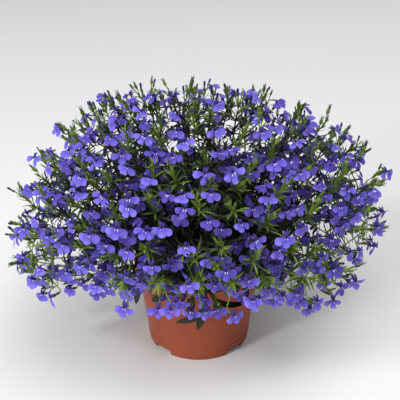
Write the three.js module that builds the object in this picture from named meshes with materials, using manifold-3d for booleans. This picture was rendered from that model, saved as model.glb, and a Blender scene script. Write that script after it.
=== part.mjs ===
// A trailing lobelia in full bloom, standing in its plastic pot.
// Millimetres, +Z up. The origin is the middle of the pot's foot, on the surface that it stands on.
// Each spray is two solids: a green leafy stem that rises from a plain hole in the soil, and the
// raceme that carries the blooms on from the stem's end. All stems are three-sided, and what grows
// from one takes over a face of a short collar, so that a spray is one closed body without cuts.

import * as THREE from "three";
import { mergeVertices } from "three/addons/utils/BufferGeometryUtils.js";
import Module from "manifold-3d";

const TURN = 2 * Math.PI;
const DEGREE = TURN / 360;
const GOLDEN_ANGLE = Math.PI * (3 - Math.sqrt(5));
const UP = new THREE.Vector3(0, 0, 1);
const LIGHT = new THREE.Vector3(-0.1, -0.9, 0.4); // where the plant's light comes from
const SEED = 640;
const GAP = 0.3; // between pieces that rest on each other, and the least between two shoots

const POT = {
  height: 86,
  footRadius: 48.5,
  taper: Math.tan(7.6 * DEGREE), // outwards, for each millimetre of height
  wall: 1.6,
  footBand: 10.5, // height of the band round the foot
  footStep: 0.5, // how far that band stands out
  lipHeight: 7,
  lipOut: 1.8,
  floor: 6.5, // height of the raised floor's underside
  floorThickness: 1.8,
  sides: 32,
  notches: 4,
  notchWidth: 20,
  notchHeight: 5,
  drains: 4,
  drainRadius: 4,
  drainRing: 30, // distance of the drain holes from the axis
};

// The soil is filled to just under the lip. Stems and broad leaves stand in plain holes in it.
const SOIL = { top: 77, holeDepth: 9, neck: 2.5 }; // neck: how far a stem stays upright above it

// The heads lie on a flattened dome round a middle point above the pot, down to a skirt that
// hangs lower at the sides than in front.
const DOME = { middle: 128, rise: 113, reach: 163 };
const SKIRT = { height: 120, frontLift: 27, sideDrop: 15 };
// Where the dome reaches further out or less far: direction, share of the reach, how narrow.
const BULGES = [
  { azimuth: 20 * DEGREE, share: 0.05, narrow: 14 },
  { azimuth: 90 * DEGREE, share: -0.14, narrow: 2 },
  { azimuth: 130 * DEGREE, share: 0.06, narrow: 14 },
  { azimuth: 172 * DEGREE, share: -0.08, narrow: 12 },
  { azimuth: 212 * DEGREE, share: 0.1, narrow: 12 },
  { azimuth: 270 * DEGREE, share: -0.14, narrow: 2 },
];

// Each stem forks into a middle branch and three side branches, and each branch ends in a head.
const SPRAY = {
  count: 24,
  feet: 36, // radius of the disc of soil that the stems stand in
  firstAzimuth: 23 * DEGREE,
  frontPull: 0.3, // how much closer the sprays stand in front than behind
  lowest: 0.9, // the lowest spray's middle, as a share of the way down to the skirt
  crownThin: 0.85, // under 1, the crown has fewer sprays than the skirt
  hub: 100, // height of the point that the sprays fan out from
  forkShare: 0.56, // where a stem forks, between the hub and the dome
  sideBranches: 3,
  headSpacing: 41,
  frontSpacing: 0.14, // share by which the heads stand closer in front and further apart behind
  headDepth: 13, // how far a head's last collar lies under the dome
  collarSpacing: 12, // between the two collars of a middle branch's head
  spreading: 14, // rounds in which the heads push each other apart
  push: 1 / 3, // share of what two heads lack that each of them moves
};
const STEM = {
  rootRadius: 1.5,
  forkRadius: 1.25,
  branchRadius: 1.1,
  collarHeight: 2.2,
  collars: [0.4, 0.62, 0.84], // along the stem
  bend: 0.4, // how strongly it keeps its direction at both ends
  rootBall: 5, // room kept round a collar for the roots of its shoots
};
const SHOOT = { from: 1, leastAside: 24, mostAside: 52, beyond: 8, bend: 0.35, collar: 0.72 };

// How often a place is tried for each kind of shoot before it is left out.
const TRIES = { branch: 40, shoot: 80, bloom: 26, leaf: 8, tip: 12 };
// How straight each kind must leave its root, as the cosine of the angle to the socket's normal,
// and a bloom's face its stalk.
const STRAIGHT = { branch: 0.35, leaf: 0.5, bloom: 0.35 };
const TRIAL = { step: 3, growth: 0.4 }; // how far a branch's end is moved on each further try

// One bloom seen from the front: angle from straight down in degrees, distance from the throat.
const BLOOM = {
  outline: [
    [-21, 9.5], [21, 9.5], // middle lobe of the lip
    [33, 5],
    [46, 9.8], [85, 9.4], // side lobe
    [106, 3.6],
    [151, 8.3], // narrow upper lobe
    [180, 3],
    [209, 8.3],
    [254, 3.6],
    [275, 9.4], [314, 9.8],
    [327, 5],
  ],
  tipsFrom: 8, // distance from which an outline point is a lobe's tip
  droop: 0.9, // how far the tips bend back
  throat: 0.5, // depth of the throat
  back: 2.4, // from the face to the end of the stalk
  backRadius: 0.95,
  level: 0.6, // how strongly blooms face level outwards, along the dome's normal,
  normal: 0.5,
  light: 0.3, // to the light
  wander: 0.35, // or anyhow
  lean: 20 * DEGREE,
};
// Balls that a bloom's lobes fill: angle, distance from the throat, radius.
const BLOOM_BALLS = [
  [0, 0, 3.3],
  [0, 6.6, 3.7],
  [66, 6.4, 4],
  [-66, 6.4, 4],
  [150, 5.4, 3],
  [-150, 5.4, 3],
];
const STALK = {
  shortest: 17,
  longest: 29,
  leastTilt: 44 * DEGREE,
  mostTilt: 74 * DEGREE,
  swing: 28 * DEGREE,
};
const LOWER_LEAF = { shortest: 18, longest: 26, radius: 2.7, keel: 0.9, widest: 0.55 };
const UPPER_LEAF = { shortest: 14, longest: 20, radius: 1.7, keel: 0.8, widest: 0.45 };
const TIP = { shortest: 13, longest: 22, radius: 1.2, widest: 0.4 };
// What draws a leaf or tip away from its socket's normal.
const GROWTH = {
  leafForward: [0.1, 0.9], // along the stem
  leafUp: 0.25,
  leafWander: 0.35,
  tipUp: 0.3,
  tipWander: 0.3,
};

// Broad leaves from the plant's foot that hang over the rim: direction of the root, how far the
// leaf swings round from there, half its width, and the blade's length and fall outside the rim.
const BASAL = {
  root: 46, // distance of the roots from the axis
  stalkRadius: 1.2,
  over: 4.5, // height of the stalk over the rim
  keel: 0.9,
  halfWidths: [0.75, 1], // at the blade's two stations, as shares
  // Where the leaf passes: share of the swing, distance outside the rim and share of the blade's
  // length added to it, depth under the stalk's highest point and share of the fall added to it.
  stations: [
    { turn: 0.15, outside: -5, reach: 0, under: 0, drop: 0 },
    { turn: 0.35, outside: 5.3, reach: 0, under: 1, drop: 0 },
    { turn: 0.7, outside: 0, reach: 0.6, under: 2, drop: 0.5 },
    { turn: 1, outside: 0, reach: 1, under: 2, drop: 1 },
  ],
};
const BASAL_LEAVES = [
  { azimuth: 258, swing: -24, radius: 4.2, out: 12, fall: 12 },
  { azimuth: 268, swing: 2, radius: 4.5, out: 14, fall: 24 },
  { azimuth: 282, swing: 26, radius: 3.6, out: 12, fall: 5 },
  { azimuth: 226, swing: -6, radius: 4.2, out: 10, fall: 16 },
  { azimuth: 310, swing: 12, radius: 3.8, out: 16, fall: 10 },
];

const finish = (color, roughness) =>
  new THREE.MeshStandardMaterial({ color, roughness, metalness: 0 });
const FINISHES = {
  pot: finish(0x9c5643, 0.55),
  soil: finish(0x33271f, 0.95),
  leaf: finish(0x43582a, 0.6),
  bloom: finish(0x6a5cd0, 0.55),
};

const wasm = await Module();
wasm.setup();

// ---------------------------------------------------------------- points and directions

// A seeded source of even numbers from 0 up to 1.
function makeDice(seed) {
  let state = seed >>> 0;
  return () => {
    state = (state + 0x6d2b79f5) >>> 0;
    let mixed = Math.imul(state ^ (state >>> 15), state | 1);
    mixed ^= mixed + Math.imul(mixed ^ (mixed >>> 7), mixed | 61);
    return ((mixed ^ (mixed >>> 14)) >>> 0) / 4294967296;
  };
}
const dice = makeDice(SEED);
const between = (low, high) => low + (high - low) * dice();

const vector = (x, y, z) => new THREE.Vector3(x, y, z);
const wander = () => vector(between(-1, 1), between(-1, 1), between(-1, 1));
const polar = (azimuth, radius, height) =>
  vector(radius * Math.cos(azimuth), radius * Math.sin(azimuth), height);
const along = (start, direction, length) => start.clone().addScaledVector(direction, length);
const sum = (...parts) =>
  parts.reduce((total, [part, share]) => total.addScaledVector(part, share), vector(0, 0, 0));
const mix = (...parts) => sum(...parts).normalize();
const towards = (start, end) => end.clone().sub(start).normalize();

// Two directions square to the given one: the first level, the second on its upper side.
function frameOf(direction) {
  const level = UP.clone().cross(direction);
  const across = level.length() < 0.05 ? vector(1, 0, 0) : level.normalize();
  return { across, over: direction.clone().cross(across).normalize() };
}

// A point at some distance from a centre, in the plane square to a direction.
function round(centre, direction, angle, radius) {
  const { across, over } = frameOf(direction);
  return sum([centre, 1], [across, radius * Math.cos(angle)], [over, radius * Math.sin(angle)]);
}

// The least distance between the segments ab and cd.
function segmentGap(a, b, c, d) {
  const ab = b.clone().sub(a);
  const cd = d.clone().sub(c);
  const ca = a.clone().sub(c);
  const abab = ab.dot(ab);
  const cdcd = cd.dot(cd);
  const abcd = ab.dot(cd);
  const limit = (x) => Math.min(1, Math.max(0, x));
  const square = abab * cdcd - abcd * abcd;
  const first = square > 1e-9 ? limit((abcd * cd.dot(ca) - ab.dot(ca) * cdcd) / square) : 0;
  const t = cdcd > 1e-9 ? limit((abcd * first + cd.dot(ca)) / cdcd) : 0;
  const s = abab > 1e-9 ? limit((abcd * t - ab.dot(ca)) / abab) : 0;
  return sum([ca, 1], [ab, s], [cd, -t]).length();
}

// ---------------------------------------------------------------- room among the shoots

const potRadius = (height) => POT.footRadius + POT.taper * height;

// True where a ball clears the pot's wall and lip, the soil and the surface under the pot.
function clearsPot(point, radius) {
  const distance = Math.hypot(point.x, point.y);
  const surfaceGap = 3;
  const wallGap = 1.2;
  if (point.z < radius + surfaceGap) return false;
  if (point.z > POT.height + radius + wallGap) return true;
  if (distance > potRadius(point.z) + POT.lipOut + radius + wallGap) return true;
  const inside = distance < potRadius(point.z) - POT.wall - radius - wallGap;
  return inside && point.z > SOIL.top + radius;
}

// What is already taken up, as rods with round ends. Rods with an owner only let that collar in.
class Room {
  rods = [];

  add(start, end, radius, owner = null) {
    this.rods.push({ start, end, radius, owner });
  }

  isFree(start, end, radius, owner = null) {
    const steps = 4;
    for (let i = 0; i <= steps; i++)
      if (!clearsPot(start.clone().lerp(end, i / steps), radius)) return false;
    return this.rods.every((rod) => {
      if (owner !== null && rod.owner === owner) return true;
      return segmentGap(start, end, rod.start, rod.end) >= radius + rod.radius + GAP;
    });
  }
}
const room = new Room();

// ---------------------------------------------------------------- the dome

const reachAt = (azimuth) =>
  BULGES.reduce((reach, bulge) => {
    const nearness = Math.max(0, Math.cos(azimuth - bulge.azimuth)) ** bulge.narrow;
    return reach + DOME.reach * bulge.share * nearness;
  }, DOME.reach);

// The skirt's level in a direction, where 0 is the dome's middle and 1 its top.
function skirtAt(azimuth) {
  const lift = SKIRT.frontLift * Math.max(0, -Math.sin(azimuth));
  const drop = SKIRT.sideDrop * Math.cos(azimuth) ** 2;
  return (SKIRT.height + lift - drop - DOME.middle) / DOME.rise;
}

// The point of the dome in a direction, at a share of the way from its top down to the skirt.
function domePoint(azimuth, share) {
  const level = 1 - share * (1 - skirtAt(azimuth));
  const radius = reachAt(azimuth) * Math.sqrt(1 - level * level);
  return polar(azimuth, radius, DOME.middle + DOME.rise * level);
}

// A point moved straight to or from the dome's middle until it lies on the dome.
function ontoDome(point) {
  const azimuth = Math.atan2(point.y, point.x);
  const reach = reachAt(azimuth);
  const height = point.z - DOME.middle;
  const size = Math.hypot(point.x / reach, point.y / reach, height / DOME.rise);
  const level = Math.max(height / size / DOME.rise, skirtAt(azimuth));
  return vector(point.x / size, point.y / size, DOME.middle + DOME.rise * level);
}

// The direction straight out of the dome near a point.
function outwardAt({ x, y, z }) {
  const spread = (DOME.rise / DOME.reach) ** 2;
  return vector(x * spread, y * spread, z - DOME.middle).normalize();
}

// The least distance between the heads near a point.
function spacingAt({ x, y }) {
  return SPRAY.headSpacing * (1 + (SPRAY.frontSpacing * y) / (Math.hypot(x, y) + 1));
}

// Places of the heads: one at each spray's middle and the rest round it, then pushed apart.
function spreadHeads(middles) {
  const heads = middles.flatMap((middle) => {
    const turn = TURN * dice();
    const aside = Array.from({ length: SPRAY.sideBranches }, (_, k) => {
      const angle = turn + (TURN * k) / SPRAY.sideBranches;
      return ontoDome(round(middle, outwardAt(middle), angle, SPRAY.headSpacing));
    });
    return [middle.clone(), ...aside];
  });
  for (let pass = 0; pass < SPRAY.spreading; pass++) {
    heads.forEach((head, i) => {
      heads.slice(i + 1).forEach((other) => {
        const short = spacingAt(head) - head.distanceTo(other);
        if (short <= 0) return;
        const apart = towards(head, other);
        head.addScaledVector(apart, -short * SPRAY.push);
        other.addScaledVector(apart, short * SPRAY.push);
      });
    });
    heads.forEach((head) => head.copy(ontoDome(head)));
  }
  return heads;
}

// ---------------------------------------------------------------- stems, collars and branches

// A collar is the short stretch that shoots grow from, one for each of its three sides.
let collarCount = 0;
function planCollar(centre, direction, radius) {
  const sides = [1, 3, 5].map((sixth) => {
    const root = round(centre, direction, (TURN * sixth) / 6, radius / 2);
    return { root, normal: towards(centre, root), shoot: null };
  });
  const collar = { id: collarCount++, centre, direction, radius, sides };
  room.add(centre, centre, STEM.rootBall, collar.id);
  return collar;
}

// The end of a collar, where its stem goes on.
const topOf = ({ centre, direction }) => ({
  root: along(centre, direction, STEM.collarHeight / 2),
  normal: direction,
  shoot: null,
});

// The stretch of a shoot that may touch nothing starts a little way from its root.
function clearStart(root, end) {
  const length = root.distanceTo(end);
  return along(root, towards(root, end), Math.min(STEM.rootBall, length / 2));
}

// A point of a stem's curve, with the direction of travel there.
function stemStation([a, b, c, d], t) {
  const s = 1 - t;
  const centre = sum([a, s ** 3], [b, 3 * s * s * t], [c, 3 * s * t * t], [d, t ** 3]);
  const direction = mix(
    [b.clone().sub(a), s * s],
    [c.clone().sub(b), 2 * s * t],
    [d.clone().sub(c), t * t],
  );
  return { centre, direction };
}

// A stem rises from its foot, bends outwards and ends where it forks.
function planStem(number) {
  const even = SPRAY.firstAzimuth + number * GOLDEN_ANGLE;
  const azimuth = even - SPRAY.frontPull * Math.cos(even);
  const share = (number + 0.5) / SPRAY.count;
  const middle = domePoint(azimuth, SPRAY.lowest * share ** SPRAY.crownThin);
  const forkPoint = vector(0, 0, SPRAY.hub).lerp(middle, SPRAY.forkShare);
  const outward = towards(forkPoint, middle);
  const feet = SPRAY.feet * Math.sqrt(share);
  const foot = polar(azimuth, feet, SOIL.top - SOIL.holeDepth + GAP);
  const neck = polar(azimuth, feet, SOIL.top + SOIL.neck);
  const bend = STEM.bend * neck.distanceTo(forkPoint);
  const curve = [neck, along(neck, UP, bend), along(forkPoint, outward, -bend), forkPoint];
  const collars = STEM.collars.map((t) => {
    const { centre, direction } = stemStation(curve, t);
    const radius = THREE.MathUtils.lerp(STEM.rootRadius, STEM.forkRadius, t);
    return planCollar(centre, direction, radius);
  });
  const forkHeight = GAP + 1.5 * STEM.collarHeight;
  const fork = planCollar(along(forkPoint, outward, forkHeight), outward, STEM.forkRadius);
  const line = [foot, neck, ...collars.map(({ centre }) => centre), forkPoint, fork.centre];
  line.slice(1).forEach((point, k) => room.add(line[k], point, STEM.rootRadius));
  return { foot, neck, middle, forkPoint, outward, collars, fork, middleBranch: null };
}

// A branch from a collar's side or top to a head under the dome, moved a little to find room.
function planBranch(collar, exits, place, depth) {
  for (let tries = 0; tries < TRIES.branch; tries++) {
    const slack = tries && TRIAL.step + tries * TRIAL.growth;
    const target = along(place, wander(), slack);
    const outward = outwardAt(target);
    const centre = along(target, outward, -depth);
    const facing = towards(collar.centre, centre);
    const exit = exits
      .filter(({ shoot }) => !shoot)
      .reduce((best, next) => (next.normal.dot(facing) > best.normal.dot(facing) ? next : best));
    const travel = towards(exit.root, centre);
    if (travel.dot(exit.normal) < STRAIGHT.branch) continue;
    const start = clearStart(exit.root, centre);
    if (!room.isFree(start, centre, STEM.branchRadius, collar.id)) continue;
    if (!room.isFree(centre, centre, STEM.rootBall)) continue;
    room.add(start, centre, STEM.branchRadius);
    const head = planCollar(centre, mix([travel, 1], [outward, 1]), STEM.branchRadius);
    exit.shoot = { kind: "branch", collar: head, end: topOf(head), isHead: true };
    return exit.shoot;
  }
}

// Where it has room, a head goes on to a second collar.
function planSecondCollar({ collar, end }) {
  const centre = along(collar.centre, collar.direction, SPRAY.collarSpacing);
  const start = clearStart(end.root, centre);
  if (!room.isFree(start, centre, STEM.branchRadius, collar.id)) return;
  if (!room.isFree(centre, centre, STEM.rootBall)) return;
  room.add(start, centre, STEM.branchRadius);
  const direction = mix([collar.direction, 2], [outwardAt(centre), 1]);
  const second = planCollar(centre, direction, STEM.branchRadius);
  end.shoot = { kind: "branch", collar: second, end: topOf(second), isHead: true };
}

// A leafy shoot grows from a stem, bends and stands out between the heads.
function planShoot(stem) {
  const collar = stem.collars[SHOOT.from];
  for (let tries = 0; tries < TRIES.shoot; tries++) {
    const aside = between(SHOOT.leastAside, SHOOT.mostAside);
    const onDome = ontoDome(round(stem.middle, outwardAt(stem.middle), TURN * dice(), aside));
    const end = along(onDome, outwardAt(onDome), SHOOT.beyond);
    const facing = towards(collar.centre, end);
    const side = collar.sides.reduce((best, next) => {
      return next.normal.dot(facing) > best.normal.dot(facing) ? next : best;
    });
    const start = mix([side.normal, 1], [collar.direction, 1]);
    const elbow = along(side.root, start, SHOOT.bend * side.root.distanceTo(end));
    const centre = elbow.clone().lerp(end, SHOOT.collar);
    if (!room.isFree(clearStart(side.root, elbow), elbow, STEM.branchRadius, collar.id)) continue;
    if (!room.isFree(elbow, end, UPPER_LEAF.radius)) continue;
    if (!room.isFree(centre, centre, STEM.rootBall)) continue;
    room.add(clearStart(side.root, elbow), elbow, STEM.branchRadius);
    room.add(elbow, centre, STEM.branchRadius);
    const head = planCollar(centre, towards(elbow, end), STEM.branchRadius);
    side.shoot = { kind: "branch", elbow, collar: head, end: topOf(head) };
    return;
  }
}

// ---------------------------------------------------------------- blooms, leaves and tips

// A point of a bloom: angle from straight down in degrees, distance from the throat, and depth.
function bloomPoint({ centre, right, top, facing }, angle, distance, depth) {
  const side = distance * Math.sin(angle * DEGREE);
  const rise = -distance * Math.cos(angle * DEGREE);
  return sum([centre, 1], [right, side], [top, rise], [facing, depth]);
}

// A bloom faces outwards with its lip hanging down. It is left out where it has no room.
function planBloom(collar, root, direction, length) {
  const centre = along(root, direction, length);
  const level = vector(centre.x, centre.y, 0).normalize();
  const facing = mix(
    [level, BLOOM.level],
    [outwardAt(centre), BLOOM.normal],
    [LIGHT, BLOOM.light],
    [wander(), BLOOM.wander],
  );
  const lean = between(-BLOOM.lean, BLOOM.lean);
  const { across, over } = frameOf(facing);
  const right = mix([across, Math.cos(lean)], [over, Math.sin(lean)]);
  const bloom = { kind: "bloom", centre, facing, right, top: facing.clone().cross(right) };
  if (facing.dot(direction) < STRAIGHT.bloom) return null;
  const back = along(centre, facing, -BLOOM.back);
  const start = clearStart(root, back);
  if (!room.isFree(start, back, STEM.branchRadius, collar.id)) return null;
  const balls = BLOOM_BALLS.map(([angle, distance, radius]) => {
    return { place: bloomPoint(bloom, angle, distance, -BLOOM.droop), radius };
  });
  if (!balls.every(({ place, radius }) => room.isFree(place, place, radius))) return null;
  balls.forEach(({ place, radius }) => room.add(place, place, radius));
  room.add(start, back, STEM.branchRadius);
  return bloom;
}

// Fills the sides of a head with blooms, each tried at several angles and lengths.
function planBlooms(head) {
  for (const side of head.sides) {
    for (let tries = 0; tries < TRIES.bloom && !side.shoot; tries++) {
      const tilt = between(STALK.leastTilt, STALK.mostTilt);
      const swing = between(-STALK.swing, STALK.swing);
      const sideways = head.direction.clone().cross(side.normal);
      const aside = mix([side.normal, Math.cos(swing)], [sideways, Math.sin(swing)]);
      const direction = mix([head.direction, Math.cos(tilt)], [aside, Math.sin(tilt)]);
      const length = between(STALK.shortest, STALK.longest);
      side.shoot = planBloom(head, side.root, direction, length);
    }
  }
}

// A slim shoot that swells and ends in a point. It is left out where it has no room.
function planSpike(kind, size, collar, root, direction) {
  const length = between(size.shortest, size.longest);
  const end = along(root, direction, length);
  const start = clearStart(root, end);
  if (!room.isFree(start, end, size.radius, collar.id)) return null;
  room.add(start, end, size.radius);
  return { kind, size, end, direction, middle: along(root, direction, length * size.widest) };
}

// Leaves on the free sides of a collar.
function planLeaves(collar, size) {
  for (const side of collar.sides) {
    for (let tries = 0; tries < TRIES.leaf && !side.shoot; tries++) {
      const direction = mix(
        [side.normal, 1],
        [collar.direction, between(...GROWTH.leafForward)],
        [UP, GROWTH.leafUp],
        [wander(), GROWTH.leafWander],
      );
      if (direction.dot(side.normal) < STRAIGHT.leaf) continue;
      side.shoot = planSpike("leaf", size, collar, side.root, direction);
    }
  }
}

// Beyond its collar, a branch goes on as a growing tip.
function planEnd(collar, end) {
  for (let tries = 0; tries < TRIES.tip && !end.shoot; tries++) {
    const direction = mix([end.normal, 1], [UP, GROWTH.tipUp], [wander(), GROWTH.tipWander]);
    end.shoot = planSpike("tip", TIP, collar, end.root, direction);
  }
}

// ---------------------------------------------------------------- growing solids

// A closed solid that grows ring by ring and face by face. A ring has three points in order
// round its direction of growth, and every face looks outwards.
class GrownSolid {
  points = [];
  faces = [];

  ring(points) {
    return points.map((point) => this.points.push(point) - 1);
  }

  section(centre, direction, radius) {
    return this.ring([0, 1, 2].map((k) => round(centre, direction, (TURN * k) / 3, radius)));
  }

  face(a, b, c) {
    return this.faces.push([a, b, c]) - 1;
  }

  close([a, b, c]) {
    this.face(a, c, b);
  }

  // Joins two rings by the straightest walls that don't cross, and gives one face of each side.
  wall(from, to) {
    const twists = [0, 1, 2].map((turn) => this.twistOf(from, to, turn));
    const turn = twists.indexOf(Math.min(...twists));
    const tie = 1e-6; // under this, the two ways to split a side count as equal
    const slant = twists[(turn + 1) % 3] < twists[(turn + 2) % 3] - tie;
    const [best, other] = [slant, !slant].map((way) => this.sides(from, to, turn, way));
    const sides = this.isCrossed(best.flat()) ? other : best;
    sides.forEach(([, second]) => this.face(...second));
    return sides.map(([first]) => this.face(...first));
  }

  // How far the corners of two rings lie from each other once their middles are matched.
  twistOf(from, to, turn) {
    const gaps = to.map((point, k) => {
      return this.points[point].clone().sub(this.points[from[(turn + k) % 3]]);
    });
    const shift = sum(...gaps.map((gap) => [gap, 1 / 3]));
    return gaps.reduce((twist, gap) => twist + gap.distanceToSquared(shift), 0);
  }

  // Two faces for each side between two rings.
  sides(from, to, turn, slant) {
    return [0, 1, 2].map((k) => {
      const [a, b] = [from[(turn + k) % 3], from[(turn + k + 1) % 3]];
      const [c, d] = [to[(k + 1) % 3], to[k]];
      return slant ? [[a, b, d], [b, c, d]] : [[a, b, c], [a, c, d]];
    });
  }

  // True where an edge of one of these faces passes through another of them.
  isCrossed(faces) {
    return faces.some((face) => face.some((end, k) => {
      const start = face[(k + 1) % 3];
      const [from, to] = [this.points[start], this.points[end]];
      const ray = new THREE.Ray(from, towards(from, to));
      return faces.some((other) => {
        if (other.includes(start) || other.includes(end)) return false;
        const place = ray.intersectTriangle(...other.map((i) => this.points[i]), false, vector());
        return place !== null && place.distanceTo(from) < from.distanceTo(to);
      });
    }));
  }

  // Takes a face away, and gives its corners as the ring that a shoot grows from.
  open(face) {
    return this.faces.splice(face, 1, null)[0];
  }

  point([a, b, c], place) {
    const [end] = this.ring([place]);
    this.face(a, b, end);
    this.face(b, c, end);
    this.face(c, a, end);
  }

  geometry() {
    const corners = this.faces.filter((face) => face).flat();
    return new THREE.BufferGeometry().setFromPoints(this.points).setIndex(corners);
  }
}

// A leaf is flat above with a keel below, widest near its middle.
function growLeaf(solid, ring, { size, middle, end, direction }) {
  const { across, over } = frameOf(direction);
  const blade = solid.ring([
    along(middle, across, size.radius),
    along(middle, across, -size.radius),
    along(middle, over, -size.keel),
  ]);
  solid.wall(ring, blade);
  solid.point(blade, end);
}

function growTip(solid, ring, { size, middle, end, direction }) {
  const swell = solid.section(middle, direction, size.radius);
  solid.wall(ring, swell);
  solid.point(swell, end);
}

// A bloom is a lobed star round its throat, joined behind to the end of its stalk.
function growBloom(solid, ring, bloom) {
  const behind = bloomPoint(bloom, 0, 0, -BLOOM.back);
  const back = solid.section(behind, bloom.facing, BLOOM.backRadius);
  solid.wall(ring, back);
  const rim = solid.ring(
    BLOOM.outline.map(([angle, distance]) => {
      const isTip = distance > BLOOM.tipsFrom;
      return bloomPoint(bloom, angle, distance, isTip ? -BLOOM.droop : 0);
    }),
  );
  const [throat] = solid.ring([bloomPoint(bloom, 0, 0, -BLOOM.throat)]);
  // Each stretch of the rim is joined behind to the stalk's corner that lies nearest in angle.
  const spoke = (place) => place.clone().sub(bloom.centre).projectOnPlane(bloom.facing).normalize();
  const corners = back.map((corner) => spoke(solid.points[corner]));
  const owners = rim.map((a, k) => {
    const b = rim[(k + 1) % rim.length];
    const middle = spoke(solid.points[a].clone().lerp(solid.points[b], 0.5));
    const nearness = corners.map((corner) => corner.dot(middle));
    return nearness.indexOf(Math.max(...nearness));
  });
  rim.forEach((a, k) => {
    const next = (k + 1) % rim.length;
    solid.face(a, rim[next], throat);
    solid.face(back[owners[k]], rim[next], a);
    if (owners[next] !== owners[k]) solid.face(back[owners[k]], back[owners[next]], rim[next]);
  });
}

// A branch bears a collar of its own, and may bend on its way there.
function growBranch(solid, ring, { elbow, collar, end }) {
  let last = ring;
  if (elbow) {
    const direction = collar.direction;
    last = solid.section(elbow, direction, STEM.branchRadius);
    solid.wall(ring, last);
  }
  growEnd(solid, growCollar(solid, last, collar), end);
}

const GROWERS = { bloom: growBloom, leaf: growLeaf, tip: growTip, branch: growBranch };

function growCollar(solid, ring, { centre, direction, radius, sides }) {
  const half = STEM.collarHeight / 2;
  const lower = solid.section(along(centre, direction, -half), direction, radius);
  solid.wall(ring, lower);
  const upper = solid.section(along(centre, direction, half), direction, radius);
  const faces = solid.wall(lower, upper);
  sides.forEach(({ shoot }, k) => {
    if (shoot) GROWERS[shoot.kind](solid, solid.open(faces[k]), shoot);
  });
  return upper;
}

function growEnd(solid, ring, { shoot }) {
  if (shoot) GROWERS[shoot.kind](solid, ring, shoot);
  else solid.face(...ring);
}

function leafyStem({ foot, neck, collars, forkPoint, outward }) {
  const solid = new GrownSolid();
  const root = solid.section(foot, UP, STEM.rootRadius);
  solid.close(root);
  const upright = solid.section(neck, UP, STEM.rootRadius);
  solid.wall(root, upright);
  const last = collars.reduce((from, collar) => growCollar(solid, from, collar), upright);
  const end = solid.section(forkPoint, outward, STEM.forkRadius);
  solid.wall(last, end);
  solid.face(...end);
  return solid.geometry();
}

function raceme({ forkPoint, outward, fork, middleBranch }) {
  const solid = new GrownSolid();
  const start = solid.section(along(forkPoint, outward, GAP), outward, STEM.forkRadius);
  solid.close(start);
  growEnd(solid, growCollar(solid, start, fork), middleBranch);
  return solid.geometry();
}

// ---------------------------------------------------------------- broad leaves over the rim

function planBasalLeaf({ azimuth, swing, radius, out, fall }) {
  const rim = potRadius(POT.height);
  const highest = POT.height + BASAL.over;
  const root = azimuth * DEGREE;
  const foot = polar(root, BASAL.root, SOIL.top - SOIL.holeDepth + GAP);
  const stations = BASAL.stations.map(({ turn, outside, reach, under, drop }) => {
    const distance = rim + outside + reach * out;
    return polar(root + swing * turn * DEGREE, distance, highest - under - drop * fall);
  });
  const line = [polar(root, BASAL.root, SOIL.top + SOIL.neck), ...stations];
  stations.forEach((end, k) => room.add(line[k], end, k < 2 ? BASAL.stalkRadius : radius));
  return { foot, line, radius };
}

function basalLeaf({ foot, line, radius }) {
  const solid = new GrownSolid();
  const root = solid.section(foot, UP, BASAL.stalkRadius);
  solid.close(root);
  const neck = solid.section(line[0], UP, BASAL.stalkRadius);
  solid.wall(root, neck);
  const last = line.slice(1, -1).reduce((from, point, k) => {
    const direction = towards(line[k], line[k + 2]);
    const halfWidth = k === 0 ? BASAL.stalkRadius : radius * BASAL.halfWidths[k - 1];
    const { across, over } = frameOf(direction);
    const blade = solid.ring([
      along(point, across, halfWidth),
      along(point, across, -halfWidth),
      along(point, over, -BASAL.keel),
    ]);
    solid.wall(from, blade);
    return blade;
  }, neck);
  solid.point(last, line.at(-1));
  return solid.geometry();
}

// ---------------------------------------------------------------- pot and soil

// A closed geometry as a solid for cuts, and a cut solid as a geometry.
function solidOf(geometry) {
  const bare = geometry.clone();
  bare.deleteAttribute("normal");
  bare.deleteAttribute("uv");
  const merged = mergeVertices(bare, 1e-3);
  const mesh = new wasm.Mesh({
    numProp: 3,
    vertProperties: new Float32Array(merged.attributes.position.array),
    triVerts: new Uint32Array(merged.index.array),
  });
  return new wasm.Manifold(mesh);
}

function geometryOf(solid) {
  const { vertProperties, triVerts } = solid.getMesh();
  const geometry = new THREE.BufferGeometry();
  geometry.setAttribute("position", new THREE.BufferAttribute(vertProperties, 3));
  return geometry.setIndex(new THREE.BufferAttribute(triVerts, 1));
}

// A body of revolution from points of distance from the axis and height, round the pot's axis.
function turned(profile) {
  const points = profile.map(([radius, height]) => new THREE.Vector2(radius, height));
  return new THREE.LatheGeometry(points, POT.sides).rotateX(TURN / 4);
}

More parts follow.
